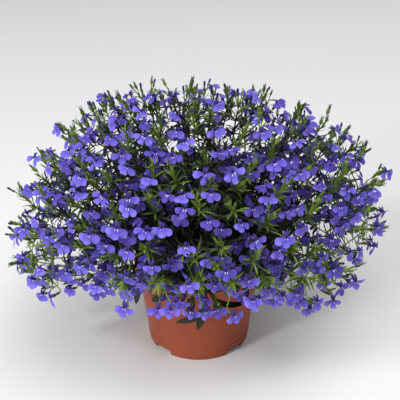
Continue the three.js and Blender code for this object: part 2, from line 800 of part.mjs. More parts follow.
function pot() {
  const band = potRadius(POT.footBand);
  const lipBase = POT.height - POT.lipHeight;
  const floorTop = POT.floor + POT.floorThickness;
  const lipBevel = 0.8;
  const shell = turned([
    [0, POT.floor],
    [potRadius(POT.floor) - POT.wall, POT.floor],
    [POT.footRadius - POT.wall, 0],
    [POT.footRadius, 0],
    [band, POT.footBand],
    [band - POT.footStep, POT.footBand + POT.footStep],
    [potRadius(lipBase) - POT.footStep, lipBase],
    [potRadius(lipBase) + POT.lipOut, lipBase + lipBevel],
    [potRadius(POT.height) + POT.lipOut, POT.height - lipBevel],
    [potRadius(POT.height) + POT.lipOut - lipBevel, POT.height],
    [potRadius(POT.height) - POT.wall, POT.height],
    [potRadius(floorTop) - POT.wall, floorTop],
    [0, floorTop],
  ]);
  let body = solidOf(shell);
  const notchDepth = 4 * POT.wall;
  for (let k = 0; k < POT.notches; k++) {
    const azimuth = (TURN * (k + 0.5)) / POT.notches;
    const notch = new THREE.BoxGeometry(notchDepth, POT.notchWidth, 2 * POT.notchHeight);
    notch.translate(POT.footRadius, 0, -GAP).rotateZ(azimuth);
    body = body.subtract(solidOf(notch));
  }
  for (let k = 0; k < POT.drains; k++) {
    const azimuth = (TURN * k) / POT.drains;
    const drain = new THREE.CylinderGeometry(POT.drainRadius, POT.drainRadius, floorTop, 8);
    drain.rotateX(TURN / 4).translate(POT.drainRing, 0, floorTop).rotateZ(azimuth);
    body = body.subtract(solidOf(drain));
  }
  return geometryOf(body);
}

// The soil fills the pot, with a three-sided hole round each foot.
function soil(feet) {
  const bottom = POT.floor + POT.floorThickness + GAP;
  const fill = turned([
    [0, bottom],
    [potRadius(bottom) - POT.wall - GAP, bottom],
    [potRadius(SOIL.top) - POT.wall - GAP, SOIL.top],
    [0, SOIL.top],
  ]);
  return geometryOf(
    feet.reduce((body, { foot, radius }) => {
      const hole = new GrownSolid();
      const clearance = 2 * GAP; // a triangle's sides lie half as far out as its corners
      const base = hole.section(along(foot, UP, -GAP), UP, radius + clearance);
      const mouth = hole.section(along(foot, UP, 2 * SOIL.holeDepth), UP, radius + clearance);
      hole.close(base);
      hole.wall(base, mouth);
      hole.face(...mouth);
      return body.subtract(solidOf(hole.geometry()));
    }, solidOf(fill)),
  );
}

// ---------------------------------------------------------------- the whole plant

const basalLeaves = BASAL_LEAVES.map(planBasalLeaf);
const stems = Array.from({ length: SPRAY.count }, (_, number) => planStem(number));
const heads = spreadHeads(stems.map(({ middle }) => middle));
stems.forEach((stem, number) => {
  const first = number * (1 + SPRAY.sideBranches);
  stem.middleBranch = topOf(stem.fork);
  const middleDepth = SPRAY.headDepth + SPRAY.collarSpacing;
  const middleHead = planBranch(stem.fork, [stem.middleBranch], heads[first], middleDepth);
  if (middleHead) planSecondCollar(middleHead);
  for (let k = 1; k <= SPRAY.sideBranches; k++)
    planBranch(stem.fork, stem.fork.sides, heads[first + k], SPRAY.headDepth);
});
stems.forEach(planShoot);

const branchesFrom = (exits) =>
  exits.flatMap(({ shoot }) => (shoot ? [shoot, ...branchesFrom([shoot.end])] : []));
const flowering = branchesFrom(
  stems.flatMap(({ fork, middleBranch }) => [middleBranch, ...fork.sides]),
);
const leafy = branchesFrom(stems.flatMap(({ collars }) => collars.flatMap(({ sides }) => sides)));
flowering.forEach(({ collar }) => planBlooms(collar));
flowering.forEach(({ collar, end }) => planEnd(collar, end));
leafy.forEach(({ collar, end }) => planEnd(collar, end));
leafy.forEach(({ collar }) => planLeaves(collar, UPPER_LEAF));
stems.forEach(({ collars }) => collars.forEach((collar) => planLeaves(collar, LOWER_LEAF)));

const plant = new THREE.Group();
function addPiece(name, geometry, finishName) {
  const mesh = new THREE.Mesh(geometry, FINISHES[finishName]);
  mesh.name = name;
  plant.add(mesh);
}
const numbered = (name, number) => name + "_" + String(number + 1).padStart(2, "0");

addPiece("pot", pot(), "pot");
const feet = [
  ...stems.map(({ foot }) => ({ foot, radius: STEM.rootRadius })),
  ...basalLeaves.map(({ foot }) => ({ foot, radius: BASAL.stalkRadius })),
];
addPiece("soil", soil(feet), "soil");
stems.forEach((stem, number) => {
  addPiece(numbered("leafy_stem", number), leafyStem(stem), "leaf");
  addPiece(numbered("raceme", number), raceme(stem), "bloom");
});
basalLeaves.forEach((leaf, number) => {
  addPiece(numbered("basal_leaf", number), basalLeaf(leaf), "leaf");
});

export default plant;
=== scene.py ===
import logging
import math
from dataclasses import dataclass, field
from enum import Enum

import bmesh
import bpy
import numpy as np
from bpy.types import Material, Mesh, Node, NodeSocket, NodeTree, Object
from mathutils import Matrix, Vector

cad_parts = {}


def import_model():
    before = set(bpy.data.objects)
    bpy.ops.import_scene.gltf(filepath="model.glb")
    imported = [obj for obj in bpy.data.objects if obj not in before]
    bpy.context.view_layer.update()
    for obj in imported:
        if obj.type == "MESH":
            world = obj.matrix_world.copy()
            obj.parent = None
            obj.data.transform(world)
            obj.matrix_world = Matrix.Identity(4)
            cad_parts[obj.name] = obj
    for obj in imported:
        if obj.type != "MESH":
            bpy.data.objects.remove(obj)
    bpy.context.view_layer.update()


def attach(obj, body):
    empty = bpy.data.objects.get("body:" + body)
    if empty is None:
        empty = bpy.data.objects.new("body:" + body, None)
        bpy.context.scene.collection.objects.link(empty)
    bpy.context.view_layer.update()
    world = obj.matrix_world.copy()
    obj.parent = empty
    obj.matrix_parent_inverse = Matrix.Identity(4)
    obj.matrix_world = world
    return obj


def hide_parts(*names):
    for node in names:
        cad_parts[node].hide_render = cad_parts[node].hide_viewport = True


# ---------------------------------------------------------------- sizes, in millimetres

Vec = np.ndarray
Range = tuple[float, float]
Outline = tuple[Range, ...]
TURN = math.tau
GOLDEN_ANGLE = math.pi * (3 - math.sqrt(5))
UP = np.array([0.0, 0.0, 1.0])
LIGHT = np.array([-0.1, -0.9, 0.4])
GAP = 0.3
SEED = 640
COROLLA_SEED, SPRAY_SEED, STALK_SEED, FOLIAGE_SEED = 500, 1000, 2000, 3000
LEAF_SEED, SOIL_SEED = 90, 71


@dataclass(frozen=True)
class PotSize:
    """The tapered pot."""

    height: float = 86
    foot_radius: float = 48.5
    taper: float = math.tan(7.6 * TURN / 360)
    wall: float = 1.6
    foot_band: float = 10.5
    foot_step: float = 0.5
    lip_height: float = 7
    lip_out: float = 1.8
    floor: float = 6.5
    floor_thickness: float = 1.8
    notches: int = 4
    notch_width: float = 20
    notch_height: float = 5
    drains: int = 4
    drain_radius: float = 4
    drain_ring: float = 30

    def radius_at(self, height: float) -> float:
        """Outer radius of the plain wall at a height."""
        return self.foot_radius + self.taper * height


@dataclass(frozen=True)
class SoilSize:
    """The filling of the pot, with plain holes for the stems."""

    top: float = 77
    hole_depth: float = 9
    neck: float = 2.5


@dataclass(frozen=True)
class Bulge:
    """A direction in which the dome reaches further out or less far."""

    azimuth: float
    share: float
    narrow: int


@dataclass(frozen=True)
class DomeSize:
    """The flattened dome that the heads lie on, and the level that it ends at."""

    middle: float = 128
    rise: float = 113
    reach: float = 163
    skirt_height: float = 120
    front_lift: float = 27
    side_drop: float = 15
    bulges: tuple[Bulge, ...] = (
        Bulge(20, 0.05, 14),
        Bulge(90, -0.14, 2),
        Bulge(130, 0.06, 14),
        Bulge(172, -0.08, 12),
        Bulge(212, 0.1, 12),
        Bulge(270, -0.14, 2),
    )


@dataclass(frozen=True)
class SpraySize:
    """How the stems and heads are spread."""

    count: int = 24
    feet: float = 36
    first_azimuth: float = 23 * TURN / 360
    front_pull: float = 0.3
    lowest: float = 0.9
    crown_thin: float = 0.85
    hub: float = 100
    fork_share: float = 0.56
    side_branches: int = 3
    head_spacing: float = 41
    front_spacing: float = 0.14
    head_depth: float = 13
    collar_spacing: float = 12
    spreading: int = 14
    push: float = 1 / 3


@dataclass(frozen=True)
class StemSize:
    """Stems and the short collars that shoots grow from."""

    root_radius: float = 1.5
    fork_radius: float = 1.25
    branch_radius: float = 1.1
    collar_height: float = 2.2
    collars: tuple[float, ...] = (0.4, 0.62, 0.84)
    bend: float = 0.4
    root_ball: float = 5


@dataclass(frozen=True)
class ShootSize:
    """A leafy side shoot of a stem."""

    start: int = 1
    least_aside: float = 24
    most_aside: float = 52
    beyond: float = 8
    bend: float = 0.35
    collar: float = 0.72


@dataclass(frozen=True)
class BloomSize:
    """How a bloom is placed, and the balls that its lobes fill."""

    droop: float = 0.9
    back: float = 2.4
    level: float = 0.6
    normal: float = 0.5
    light: float = 0.3
    wander: float = 0.35
    lean: float = 20 * TURN / 360
    shortest: float = 17
    longest: float = 29
    least_tilt: float = 44 * TURN / 360
    most_tilt: float = 74 * TURN / 360
    swing: float = 28 * TURN / 360
    balls: tuple[tuple[float, float, float], ...] = (
        (0, 0, 3.3),
        (0, 6.6, 3.7),
        (66, 6.4, 4),
        (-66, 6.4, 4),
        (150, 5.4, 3),
        (-150, 5.4, 3),
    )


@dataclass(frozen=True)
class SpikeSize:
    """A leaf or growing tip: its range of lengths and half its width."""

    shortest: float
    longest: float
    radius: float


@dataclass(frozen=True)
class BroadLeafPlan:
    """A broad leaf from the plant's foot: where it starts and how it hangs."""

    azimuth: float
    swing: float
    radius: float
    out: float
    fall: float


POT = PotSize()
SOIL = SoilSize()
DOME = DomeSize()
SPRAY = SpraySize()
STEM = StemSize()
SHOOT = ShootSize()
BLOOM = BloomSize()
LOWER_LEAF = SpikeSize(18, 26, 2.7)
UPPER_LEAF = SpikeSize(14, 20, 1.7)
TIP = SpikeSize(13, 22, 1.2)
BASAL_ROOT = 46
BASAL_STALK_RADIUS = 1.2
BASAL_OVER = 4.5
BASAL_STATIONS = ((0.15, -5, 0, 0, 0), (0.35, 5.3, 0, 1, 0), (0.7, 0, 0.6, 2, 0.5), (1, 0, 1, 2, 1))
BASAL_LEAVES = (
    BroadLeafPlan(258, -24, 4.2, 12, 12),
    BroadLeafPlan(268, 2, 4.5, 14, 24),
    BroadLeafPlan(282, 26, 3.6, 12, 5),
    BroadLeafPlan(226, -6, 4.2, 10, 16),
    BroadLeafPlan(310, 12, 3.8, 16, 10),
)
MIDDLE = np.array([0.0, 0.0, DOME.middle * 0.6])
TRIES = {"branch": 40, "shoot": 80, "bloom": 26, "leaf": 8, "tip": 12}
STRAIGHT = {"branch": 0.35, "leaf": 0.5, "bloom": 0.35}
TRIAL_STEP, TRIAL_GROWTH = 3, 0.4
LEAF_FORWARD, LEAF_UP, LEAF_WANDER = (0.1, 0.9), 0.25, 0.35
TIP_UP, TIP_WANDER = 0.3, 0.3


# ---------------------------------------------------------------- points and directions


class Dice:
    """A seeded source of even numbers from 0 up to 1, the same as in the part's source."""

    def __init__(self, seed: int) -> None:
        """Starts the row of numbers from a seed."""
        self.state = seed

    def roll(self) -> float:
        """The next number.

        Returns:
            A number from 0 up to 1.
        """
        mask = 0xFFFFFFFF
        self.state = (self.state + 0x6D2B79F5) & mask
        mixed = ((self.state ^ (self.state >> 15)) * (self.state | 1)) & mask
        mixed ^= (mixed + (((mixed ^ (mixed >> 7)) * (mixed | 61)) & mask)) & mask
        return (mixed ^ (mixed >> 14)) / 2**32

    def between(self, low: float, high: float) -> float:
        """A number from low up to high."""
        return low + (high - low) * self.roll()

    def wander(self) -> Vec:
        """A point anywhere in the cube from -1 to 1."""
        return np.array([self.between(-1, 1), self.between(-1, 1), self.between(-1, 1)])


def length_of(v: Vec) -> float:
    """Length of a vector."""
    return math.sqrt(v[0] * v[0] + v[1] * v[1] + v[2] * v[2])


def unit(v: Vec) -> Vec:
    """The same direction with length 1."""
    return v * (1.0 / (length_of(v) or 1.0))


def cross(a: Vec, b: Vec) -> Vec:
    """Cross product of two vectors.

    Args:
        a: the first vector.
        b: the second vector.

    Returns:
        The vector square to both.
    """
    return np.array(
        [a[1] * b[2] - a[2] * b[1], a[2] * b[0] - a[0] * b[2], a[0] * b[1] - a[1] * b[0]]
    )


def dot(a: Vec, b: Vec) -> float:
    """Dot product of two vectors."""
    return float(a[0] * b[0] + a[1] * b[1] + a[2] * b[2])


def polar(azimuth: float, radius: float, height: float) -> Vec:
    """A point from its direction, its distance from the axis and its height."""
    return np.array([radius * math.cos(azimuth), radius * math.sin(azimuth), height])


def frame_of(direction: Vec) -> tuple[Vec, Vec]:
    """Two directions square to the given one: the first level, the second on its upper side.

    Args:
        direction: a direction of length 1.

    Returns:
        The two directions, each of length 1.
    """
    level = cross(UP, direction)
    across = np.array([1.0, 0.0, 0.0]) if length_of(level) < 0.05 else unit(level)
    return across, unit(cross(direction, across))


def round_point(centre: Vec, direction: Vec, angle: float, radius: float) -> Vec:
    """A point at some distance from a centre, in the plane square to a direction."""
    across, over = frame_of(direction)
    return centre + across * (radius * math.cos(angle)) + over * (radius * math.sin(angle))


def clears_pot(point: Vec, radius: float) -> bool:
    """True where a ball clears the pot's wall and lip, the soil and the surface under the pot.

    Args:
        point: the ball's middle.
        radius: its radius.

    Returns:
        Whether it does.
    """
    surface_gap, wall_gap = 3, 1.2
    x, y, z = point
    distance = math.hypot(x, y)
    if z < radius + surface_gap:
        return False
    if z > POT.height + radius + wall_gap:
        return True
    if distance > POT.radius_at(z) + POT.lip_out + radius + wall_gap:
        return True
    inside = distance < POT.radius_at(z) - POT.wall - radius - wall_gap
    return inside and z > SOIL.top + radius


class Room:
    """What is already taken up, as rods with round ends. An owned rod lets its collar in."""

    def __init__(self) -> None:
        """Starts with nothing taken up."""
        self.count = 0
        self.rods = np.zeros((8192, 8))

    def add(self, start: Vec, end: Vec, radius: float, owner: int = -1) -> None:
        """Takes up the room of one rod."""
        self.rods[self.count] = (*start, *end, radius, owner)
        self.count += 1

    def is_free(self, start: Vec, end: Vec, radius: float, owner: int = -2) -> bool:
        """True where a rod keeps its distance from the pot and from all other rods.

        Args:
            start: its first end.
            end: its other end.
            radius: its radius.
            owner: the number of a collar whose own room doesn't count.

        Returns:
            Whether it does.
        """
        steps = 4
        for i in range(steps + 1):
            if not clears_pot(start + (end - start) * (i / steps), radius):
                return False
        cx, cy, cz, dx, dy, dz, radii, owners = self.rods[: self.count].T
        bx, by, bz = dx - cx, dy - cy, dz - cz
        ax, ay, az = start[0] - cx, start[1] - cy, start[2] - cz
        qx, qy, qz = end - start
        own = qx * qx + qy * qy + qz * qz
        other = bx * bx + by * by + bz * bz
        both = qx * bx + qy * by + qz * bz
        own_gap = qx * ax + qy * ay + qz * az
        other_gap = bx * ax + by * ay + bz * az
        square = own * other - both * both
        with np.errstate(divide="ignore", invalid="ignore"):
            first = np.where(
                square > 1e-9, np.clip((both * other_gap - own_gap * other) / square, 0, 1), 0
            )
            t = np.where(other > 1e-9, np.clip((both * first + other_gap) / other, 0, 1), 0)
        s = np.clip((both * t - own_gap) / own, 0, 1) if own > 1e-9 else 0
        gap = np.sqrt(
            (ax + qx * s - bx * t) ** 2 + (ay + qy * s - by * t) ** 2 + (az + qz * s - bz * t) ** 2
        )
        return bool(np.all((gap >= radius + radii + GAP) | (owners == owner)))


# ---------------------------------------------------------------- the plant's plan


class Kind(Enum):
    """The two slim shoots."""

    LEAF = "leaf"
    TIP = "tip"


@dataclass
class Exit:
    """A place that a shoot can grow from: one side of a collar, or its top."""

    root: Vec
    normal: Vec
    shoot: "Branch | Bloom | Spike | None" = None


@dataclass
class Collar:
    """A short stretch of stem with three sides that shoots grow from."""

    number: int
    centre: Vec
    direction: Vec
    radius: float
    sides: list[Exit] = field(default_factory=list)


@dataclass
class Branch:
    """A branch with a collar of its own, which it may bend to reach."""

    root: Vec
    collar: Collar
    end: Exit
    elbow: Vec | None = None


@dataclass
class Bloom:
    """A bloom on its stalk: where it grows from, where its throat is and how it is turned."""

    root: Vec
    direction: Vec
    centre: Vec
    facing: Vec
    right: Vec
    top: Vec

    def point(self, angle: float, distance: float, depth: float) -> Vec:
        """A point of the bloom by its place on the face.

        Args:
            angle: its angle from straight down, in degrees.
            distance: its distance from the throat.
            depth: how far it lies before the face.

        Returns:
            The place.
        """
        side = distance * math.sin(angle * TURN / 360)
        rise = -distance * math.cos(angle * TURN / 360)
        return self.centre + self.right * side + self.top * rise + self.facing * depth


def turned_bloom(root: Vec, direction: Vec, centre: Vec, facing: Vec, lean: float) -> Bloom:
    """A bloom that leans over by an angle about the way that it faces.

    Args:
        root: where its stalk grows from.
        direction: the way that its stalk leaves.
        centre: its throat.
        facing: the way that it faces.
        lean: the angle, in radians.

    Returns:
        The bloom.
    """
    across, over = frame_of(facing)
    right = unit(across * math.cos(lean) + over * math.sin(lean))
    return Bloom(root, direction, centre, facing, right, cross(facing, right))


@dataclass
class Spike:
    """A leaf or a growing tip."""

    kind: Kind
    root: Vec
    direction: Vec
    length: float
    radius: float


@dataclass
class Stem:
    """One spray: a leafy stem up to its fork, and what the fork carries."""

    foot: Vec
    neck: Vec
    middle: Vec
    fork_point: Vec
    outward: Vec
    curve: tuple[Vec, Vec, Vec, Vec]
    collars: list[Collar]
    fork: Collar
    middle_branch: Exit

    def flowering(self) -> list[Branch]:
        """The branches past the fork, inner ones first."""
        return branches_from([self.middle_branch, *self.fork.sides])

    def leafy(self) -> list[Branch]:
        """The leafy side shoots under the fork."""
        return branches_from([side for collar in self.collars for side in collar.sides])


def branches_from(exits: list[Exit]) -> list[Branch]:
    """All branches that grow from some exits, each followed by those on its own end.

    Args:
        exits: the places that they may grow from.

    Returns:
        The branches, in order.
    """
    found: list[Branch] = []
    for place in exits:
        if isinstance(place.shoot, Branch):
            found += [place.shoot, *branches_from([place.shoot.end])]
    return found


def bezier(points: tuple[Vec, Vec, Vec, Vec], t: float) -> tuple[Vec, Vec]:
    """A point of a cubic curve, with the direction of travel there.

    Args:
        points: the curve's ends, with the two points that draw it between them.
        t: how far along it, from 0 to 1.

    Returns:
        The point and the direction.
    """
    a, b, c, d = points
    s = 1 - t
    centre = a * s**3 + b * (3 * s * s * t) + c * (3 * s * t * t) + d * t**3
    return centre, unit((b - a) * (s * s) + (c - b) * (2 * s * t) + (d - c) * (t * t))


def clear_start(root: Vec, end: Vec) -> Vec:
    """Where the stretch of a shoot starts that may touch nothing."""
    return root + unit(end - root) * min(STEM.root_ball, length_of(end - root) / 2)


def top_of(collar: Collar) -> Exit:
    """The end of a collar, where its stem goes on."""
    return Exit(collar.centre + collar.direction * (STEM.collar_height / 2), collar.direction)


def best_exit(exits: list[Exit], facing: Vec) -> Exit:
    """The exit that looks most in a direction.

    Args:
        exits: the exits to choose from.
        facing: the direction.

    Returns:
        The first of the best.
    """
    best = exits[0]
    for place in exits[1:]:
        if dot(place.normal, facing) > dot(best.normal, facing):
            best = place
    return best


class Layout:
    """Places every stem, branch, bloom and leaf, step for step as the part's source does."""

    def __init__(self, seed: int) -> None:
        """Makes the whole plan, in the order that the random draws need.

        Args:
            seed: where its random numbers start.
        """
        self.dice = Dice(seed)
        self.room = Room()
        self.collar_count = 0
        self.basal = [self.plan_basal_leaf(plan) for plan in BASAL_LEAVES]
        self.stems = [self.plan_stem(number) for number in range(SPRAY.count)]
        heads = self.spread_heads([stem.middle for stem in self.stems])
        for number, stem in enumerate(self.stems):
            self.plan_branches(stem, heads[number * (1 + SPRAY.side_branches) :])
        for stem in self.stems:
            self.plan_shoot(stem)
        flowering = [branch for stem in self.stems for branch in stem.flowering()]
        leafy = [branch for stem in self.stems for branch in stem.leafy()]
        for branch in flowering:
            self.plan_blooms(branch.collar)
        for branch in [*flowering, *leafy]:
            self.plan_end(branch.collar, branch.end)
        for branch in leafy:
            self.plan_leaves(branch.collar, UPPER_LEAF)
        for stem in self.stems:
            for collar in stem.collars:
                self.plan_leaves(collar, LOWER_LEAF)

    def plan_basal_leaf(self, plan: BroadLeafPlan) -> list[Vec]:
        """The points that a broad leaf passes, from its foot in the soil to its tip.

        Args:
            plan: where it starts and how it hangs.

        Returns:
            The points.
        """
        degree = TURN / 360
        root = plan.azimuth * degree
        rim, highest = POT.radius_at(POT.height), POT.height + BASAL_OVER
        foot = polar(root, BASAL_ROOT, SOIL.top - SOIL.hole_depth + GAP)
        line = [polar(root, BASAL_ROOT, SOIL.top + SOIL.neck)]
        for turn, outside, reach, under, drop in BASAL_STATIONS:
            azimuth = root + plan.swing * turn * degree
            height = highest - under - drop * plan.fall
            line.append(polar(azimuth, rim + outside + reach * plan.out, height))
        for k, end in enumerate(line[1:]):
            self.room.add(line[k], end, BASAL_STALK_RADIUS if k < 2 else plan.radius)
        return [foot, *line]

    def reach_at(self, azimuth: float) -> float:
        """The dome's reach in a direction.

        Args:
            azimuth: the direction, in radians.

        Returns:
            The reach.
        """
        reach = DOME.reach
        for bulge in DOME.bulges:
            nearness = max(0.0, math.cos(azimuth - bulge.azimuth * TURN / 360)) ** bulge.narrow
            reach += DOME.reach * bulge.share * nearness
        return reach

    def skirt_at(self, azimuth: float) -> float:
        """The level that the dome ends at, where 0 is its middle and 1 its top.

        Args:
            azimuth: the direction, in radians.

        Returns:
            The level.
        """
        lift = DOME.front_lift * max(0.0, -math.sin(azimuth))
        drop = DOME.side_drop * math.cos(azimuth) ** 2
        return (DOME.skirt_height + lift - drop - DOME.middle) / DOME.rise

    def dome_point(self, azimuth: float, share: float) -> Vec:
        """The dome's point in a direction, at a share of the way from its top to its skirt.

        Args:
            azimuth: the direction, in radians.
            share: the share.

        Returns:
            The point.
        """
        level = 1 - share * (1 - self.skirt_at(azimuth))
        radius = self.reach_at(azimuth) * math.sqrt(1 - level * level)
        return polar(azimuth, radius, DOME.middle + DOME.rise * level)

    def onto_dome(self, point: Vec) -> Vec:
        """A point moved straight to or from the dome's middle until it lies on the dome.

        Args:
            point: the point.

        Returns:
            The point on the dome.
        """
        azimuth = math.atan2(point[1], point[0])
        reach = self.reach_at(azimuth)
        height = point[2] - DOME.middle
        size = math.hypot(point[0] / reach, point[1] / reach, height / DOME.rise)
        level = max(height / size / DOME.rise, self.skirt_at(azimuth))
        return np.array([point[0] / size, point[1] / size, DOME.middle + DOME.rise * level])

    def outward_at(self, point: Vec) -> Vec:
        """The direction straight out of the dome near a point."""
        spread = (DOME.rise / DOME.reach) ** 2
        return unit(np.array([point[0] * spread, point[1] * spread, point[2] - DOME.middle]))

    def spread_heads(self, middles: list[Vec]) -> list[Vec]:
        """Places of the heads: one at each spray's middle and the rest round it, pushed apart.

        Args:
            middles: the middle of each spray on the dome.

        Returns:
            The places, spray by spray.
        """
        heads: list[Vec] = []
        for middle in middles:
            turn = TURN * self.dice.roll()
            heads.append(middle.copy())
            for k in range(SPRAY.side_branches):
                angle = turn + (TURN * k) / SPRAY.side_branches
                aside = round_point(middle, self.outward_at(middle), angle, SPRAY.head_spacing)
                heads.append(self.onto_dome(aside))
        for _ in range(SPRAY.spreading):
            for i, head in enumerate(heads):
                for other in heads[i + 1 :]:
                    away = math.hypot(head[0], head[1]) + 1
                    spacing = SPRAY.head_spacing * (1 + (SPRAY.front_spacing * head[1]) / away)
                    short = spacing - length_of(head - other)
                    if short > 0:
                        apart = unit(other - head)
                        head += apart * (-short * SPRAY.push)
                        other += apart * (short * SPRAY.push)
            for head in heads:
                head[:] = self.onto_dome(head)
        return heads

    def plan_collar(self, centre: Vec, direction: Vec, radius: float) -> Collar:
        """A collar with its three sides, and the room for its roots.

        Args:
            centre: its middle.
            direction: the way that its stem goes there.
            radius: the stem's radius there.

        Returns:
            The collar.
        """
        collar = Collar(self.collar_count, centre, direction, radius)
        for sixth in (1, 3, 5):
            root = round_point(centre, direction, (TURN * sixth) / 6, radius / 2)
            collar.sides.append(Exit(root, unit(root - centre)))
        self.collar_count += 1
        self.room.add(centre, centre, STEM.root_ball, collar.number)
        return collar

    def plan_stem(self, number: int) -> Stem:
        """A stem that rises from its foot, bends outwards and ends where it forks.

        Args:
            number: its number, from 0.

        Returns:
            The stem, without its branches.
        """
        even = SPRAY.first_azimuth + number * GOLDEN_ANGLE
        azimuth = even - SPRAY.front_pull * math.cos(even)
        share = (number + 0.5) / SPRAY.count
        middle = self.dome_point(azimuth, SPRAY.lowest * share**SPRAY.crown_thin)
        hub = np.array([0.0, 0.0, SPRAY.hub])
        fork_point = hub + (middle - hub) * SPRAY.fork_share
        outward = unit(middle - fork_point)
        feet = SPRAY.feet * math.sqrt(share)
        foot = polar(azimuth, feet, SOIL.top - SOIL.hole_depth + GAP)
        neck = polar(azimuth, feet, SOIL.top + SOIL.neck)
        bend = STEM.bend * length_of(neck - fork_point)
        curve = (neck, neck + UP * bend, fork_point - outward * bend, fork_point)
        collars = []
        for t in STEM.collars:
            centre, direction = bezier(curve, t)
            radius = (1 - t) * STEM.root_radius + t * STEM.fork_radius
            collars.append(self.plan_collar(centre, direction, radius))
        fork_height = GAP + 1.5 * STEM.collar_height
        fork = self.plan_collar(fork_point + outward * fork_height, outward, STEM.fork_radius)
        line = [foot, neck, *[collar.centre for collar in collars], fork_point, fork.centre]
        for start, end in zip(line, line[1:]):
            self.room.add(start, end, STEM.root_radius)
        return Stem(foot, neck, middle, fork_point, outward, curve, collars, fork, top_of(fork))

    def plan_branches(self, stem: Stem, heads: list[Vec]) -> None:
        """The middle branch with its second collar, and the side branches of a stem.

        Args:
            stem: the stem.
            heads: the places of its heads, its own middle first.
        """
        deep = SPRAY.head_depth + SPRAY.collar_spacing
        middle = self.plan_branch(stem.fork, [stem.middle_branch], heads[0], deep)
        if middle:
            self.plan_second_collar(middle)
        for place in heads[1 : 1 + SPRAY.side_branches]:
            self.plan_branch(stem.fork, stem.fork.sides, place, SPRAY.head_depth)

    def branch_fits(self, start: Vec, centre: Vec, collar: Collar) -> bool:
        """True where a branch from a collar, and the collar at its end, have room.

        Args:
            start: where the branch leaves the collar.
            centre: the middle of the collar at its end.
            collar: the collar that it grows from.

        Returns:
            Whether they do.
        """
        if not self.room.is_free(start, centre, STEM.branch_radius, collar.number):
            return False
        return self.room.is_free(centre, centre, STEM.root_ball)

    def plan_branch(
        self, collar: Collar, exits: list[Exit], place: Vec, depth: float
    ) -> Branch | None:
        """A branch from a collar to a head under the dome, moved a little to find room.

        Args:
            collar: the collar that it grows from.
            exits: the sides that it may use.
            place: the head's place on the dome.
            depth: how far under the dome its collar lies.

        Returns:
            The branch, or None where none finds room.
        """
        for tries in range(TRIES["branch"]):
            slack = TRIAL_STEP + tries * TRIAL_GROWTH if tries else 0
            target = place + self.dice.wander() * slack
            outward = self.outward_at(target)
            centre = target - outward * depth
            facing = unit(centre - collar.centre)
            place_from = best_exit([e for e in exits if e.shoot is None], facing)
            travel = unit(centre - place_from.root)
            if dot(travel, place_from.normal) < STRAIGHT["branch"]:
                continue
            start = clear_start(place_from.root, centre)
            if not self.branch_fits(start, centre, collar):
                continue
            self.room.add(start, centre, STEM.branch_radius)
            head = self.plan_collar(centre, unit(travel + outward), STEM.branch_radius)
            place_from.shoot = Branch(place_from.root, head, top_of(head))
            return place_from.shoot
        return None

    def plan_second_collar(self, branch: Branch) -> None:
        """Where it has room, a head goes on to a second collar.

        Args:
            branch: the branch that ends in the head.
        """
        collar, end = branch.collar, branch.end
        centre = collar.centre + collar.direction * SPRAY.collar_spacing
        start = clear_start(end.root, centre)
        if not self.branch_fits(start, centre, collar):
            return
        self.room.add(start, centre, STEM.branch_radius)
        direction = unit(collar.direction * 2 + self.outward_at(centre))
        second = self.plan_collar(centre, direction, STEM.branch_radius)
        end.shoot = Branch(end.root, second, top_of(second))

    def plan_shoot(self, stem: Stem) -> None:
        """A leafy shoot that grows from a stem, bends and stands out between the heads.

        Args:
            stem: the stem.
        """
        collar = stem.collars[SHOOT.start]
        for _ in range(TRIES["shoot"]):
            aside = self.dice.between(SHOOT.least_aside, SHOOT.most_aside)
            angle = TURN * self.dice.roll()
            outward = self.outward_at(stem.middle)
            on_dome = self.onto_dome(round_point(stem.middle, outward, angle, aside))
            end = on_dome + self.outward_at(on_dome) * SHOOT.beyond
            side = best_exit(collar.sides, unit(end - collar.centre))
            start = unit(side.normal + collar.direction)
            elbow = side.root + start * (SHOOT.bend * length_of(side.root - end))
            centre = elbow + (end - elbow) * SHOOT.collar
            first = clear_start(side.root, elbow)
            if not (
                self.room.is_free(first, elbow, STEM.branch_radius, collar.number)
                and self.room.is_free(elbow, end, UPPER_LEAF.radius)
                and self.room.is_free(centre, centre, STEM.root_ball)
            ):
                continue
            self.room.add(first, elbow, STEM.branch_radius)
            self.room.add(elbow, centre, STEM.branch_radius)
            head = self.plan_collar(centre, unit(end - elbow), STEM.branch_radius)
            side.shoot = Branch(side.root, head, top_of(head), elbow)
            return

    def plan_bloom(
        self, collar: Collar, root: Vec, direction: Vec, length: float
    ) -> Bloom | None:
        """A bloom that faces outwards, or nothing where it has no room.

        Args:
            collar: the collar that it grows from.
            root: where it grows from.
            direction: the way that its stalk leaves.
            length: how far its throat is from there.

        Returns:
            The bloom or None.
        """
        centre = root + direction * length
        level = unit(np.array([centre[0], centre[1], 0.0]))
        facing = unit(
            level * BLOOM.level
            + self.outward_at(centre) * BLOOM.normal
            + LIGHT * BLOOM.light
            + self.dice.wander() * BLOOM.wander
        )
        lean = self.dice.between(-BLOOM.lean, BLOOM.lean)
        bloom = turned_bloom(root, direction, centre, facing, lean)
        if dot(facing, direction) < STRAIGHT["bloom"]:
            return None
        back = centre - facing * BLOOM.back
        start = clear_start(root, back)
        if not self.room.is_free(start, back, STEM.branch_radius, collar.number):
            return None
        places = [(bloom.point(a, d, -BLOOM.droop), radius) for a, d, radius in BLOOM.balls]
        if not all(self.room.is_free(place, place, radius) for place, radius in places):
            return None
        for place, radius in places:
            self.room.add(place, place, radius)
        self.room.add(start, back, STEM.branch_radius)
        return bloom

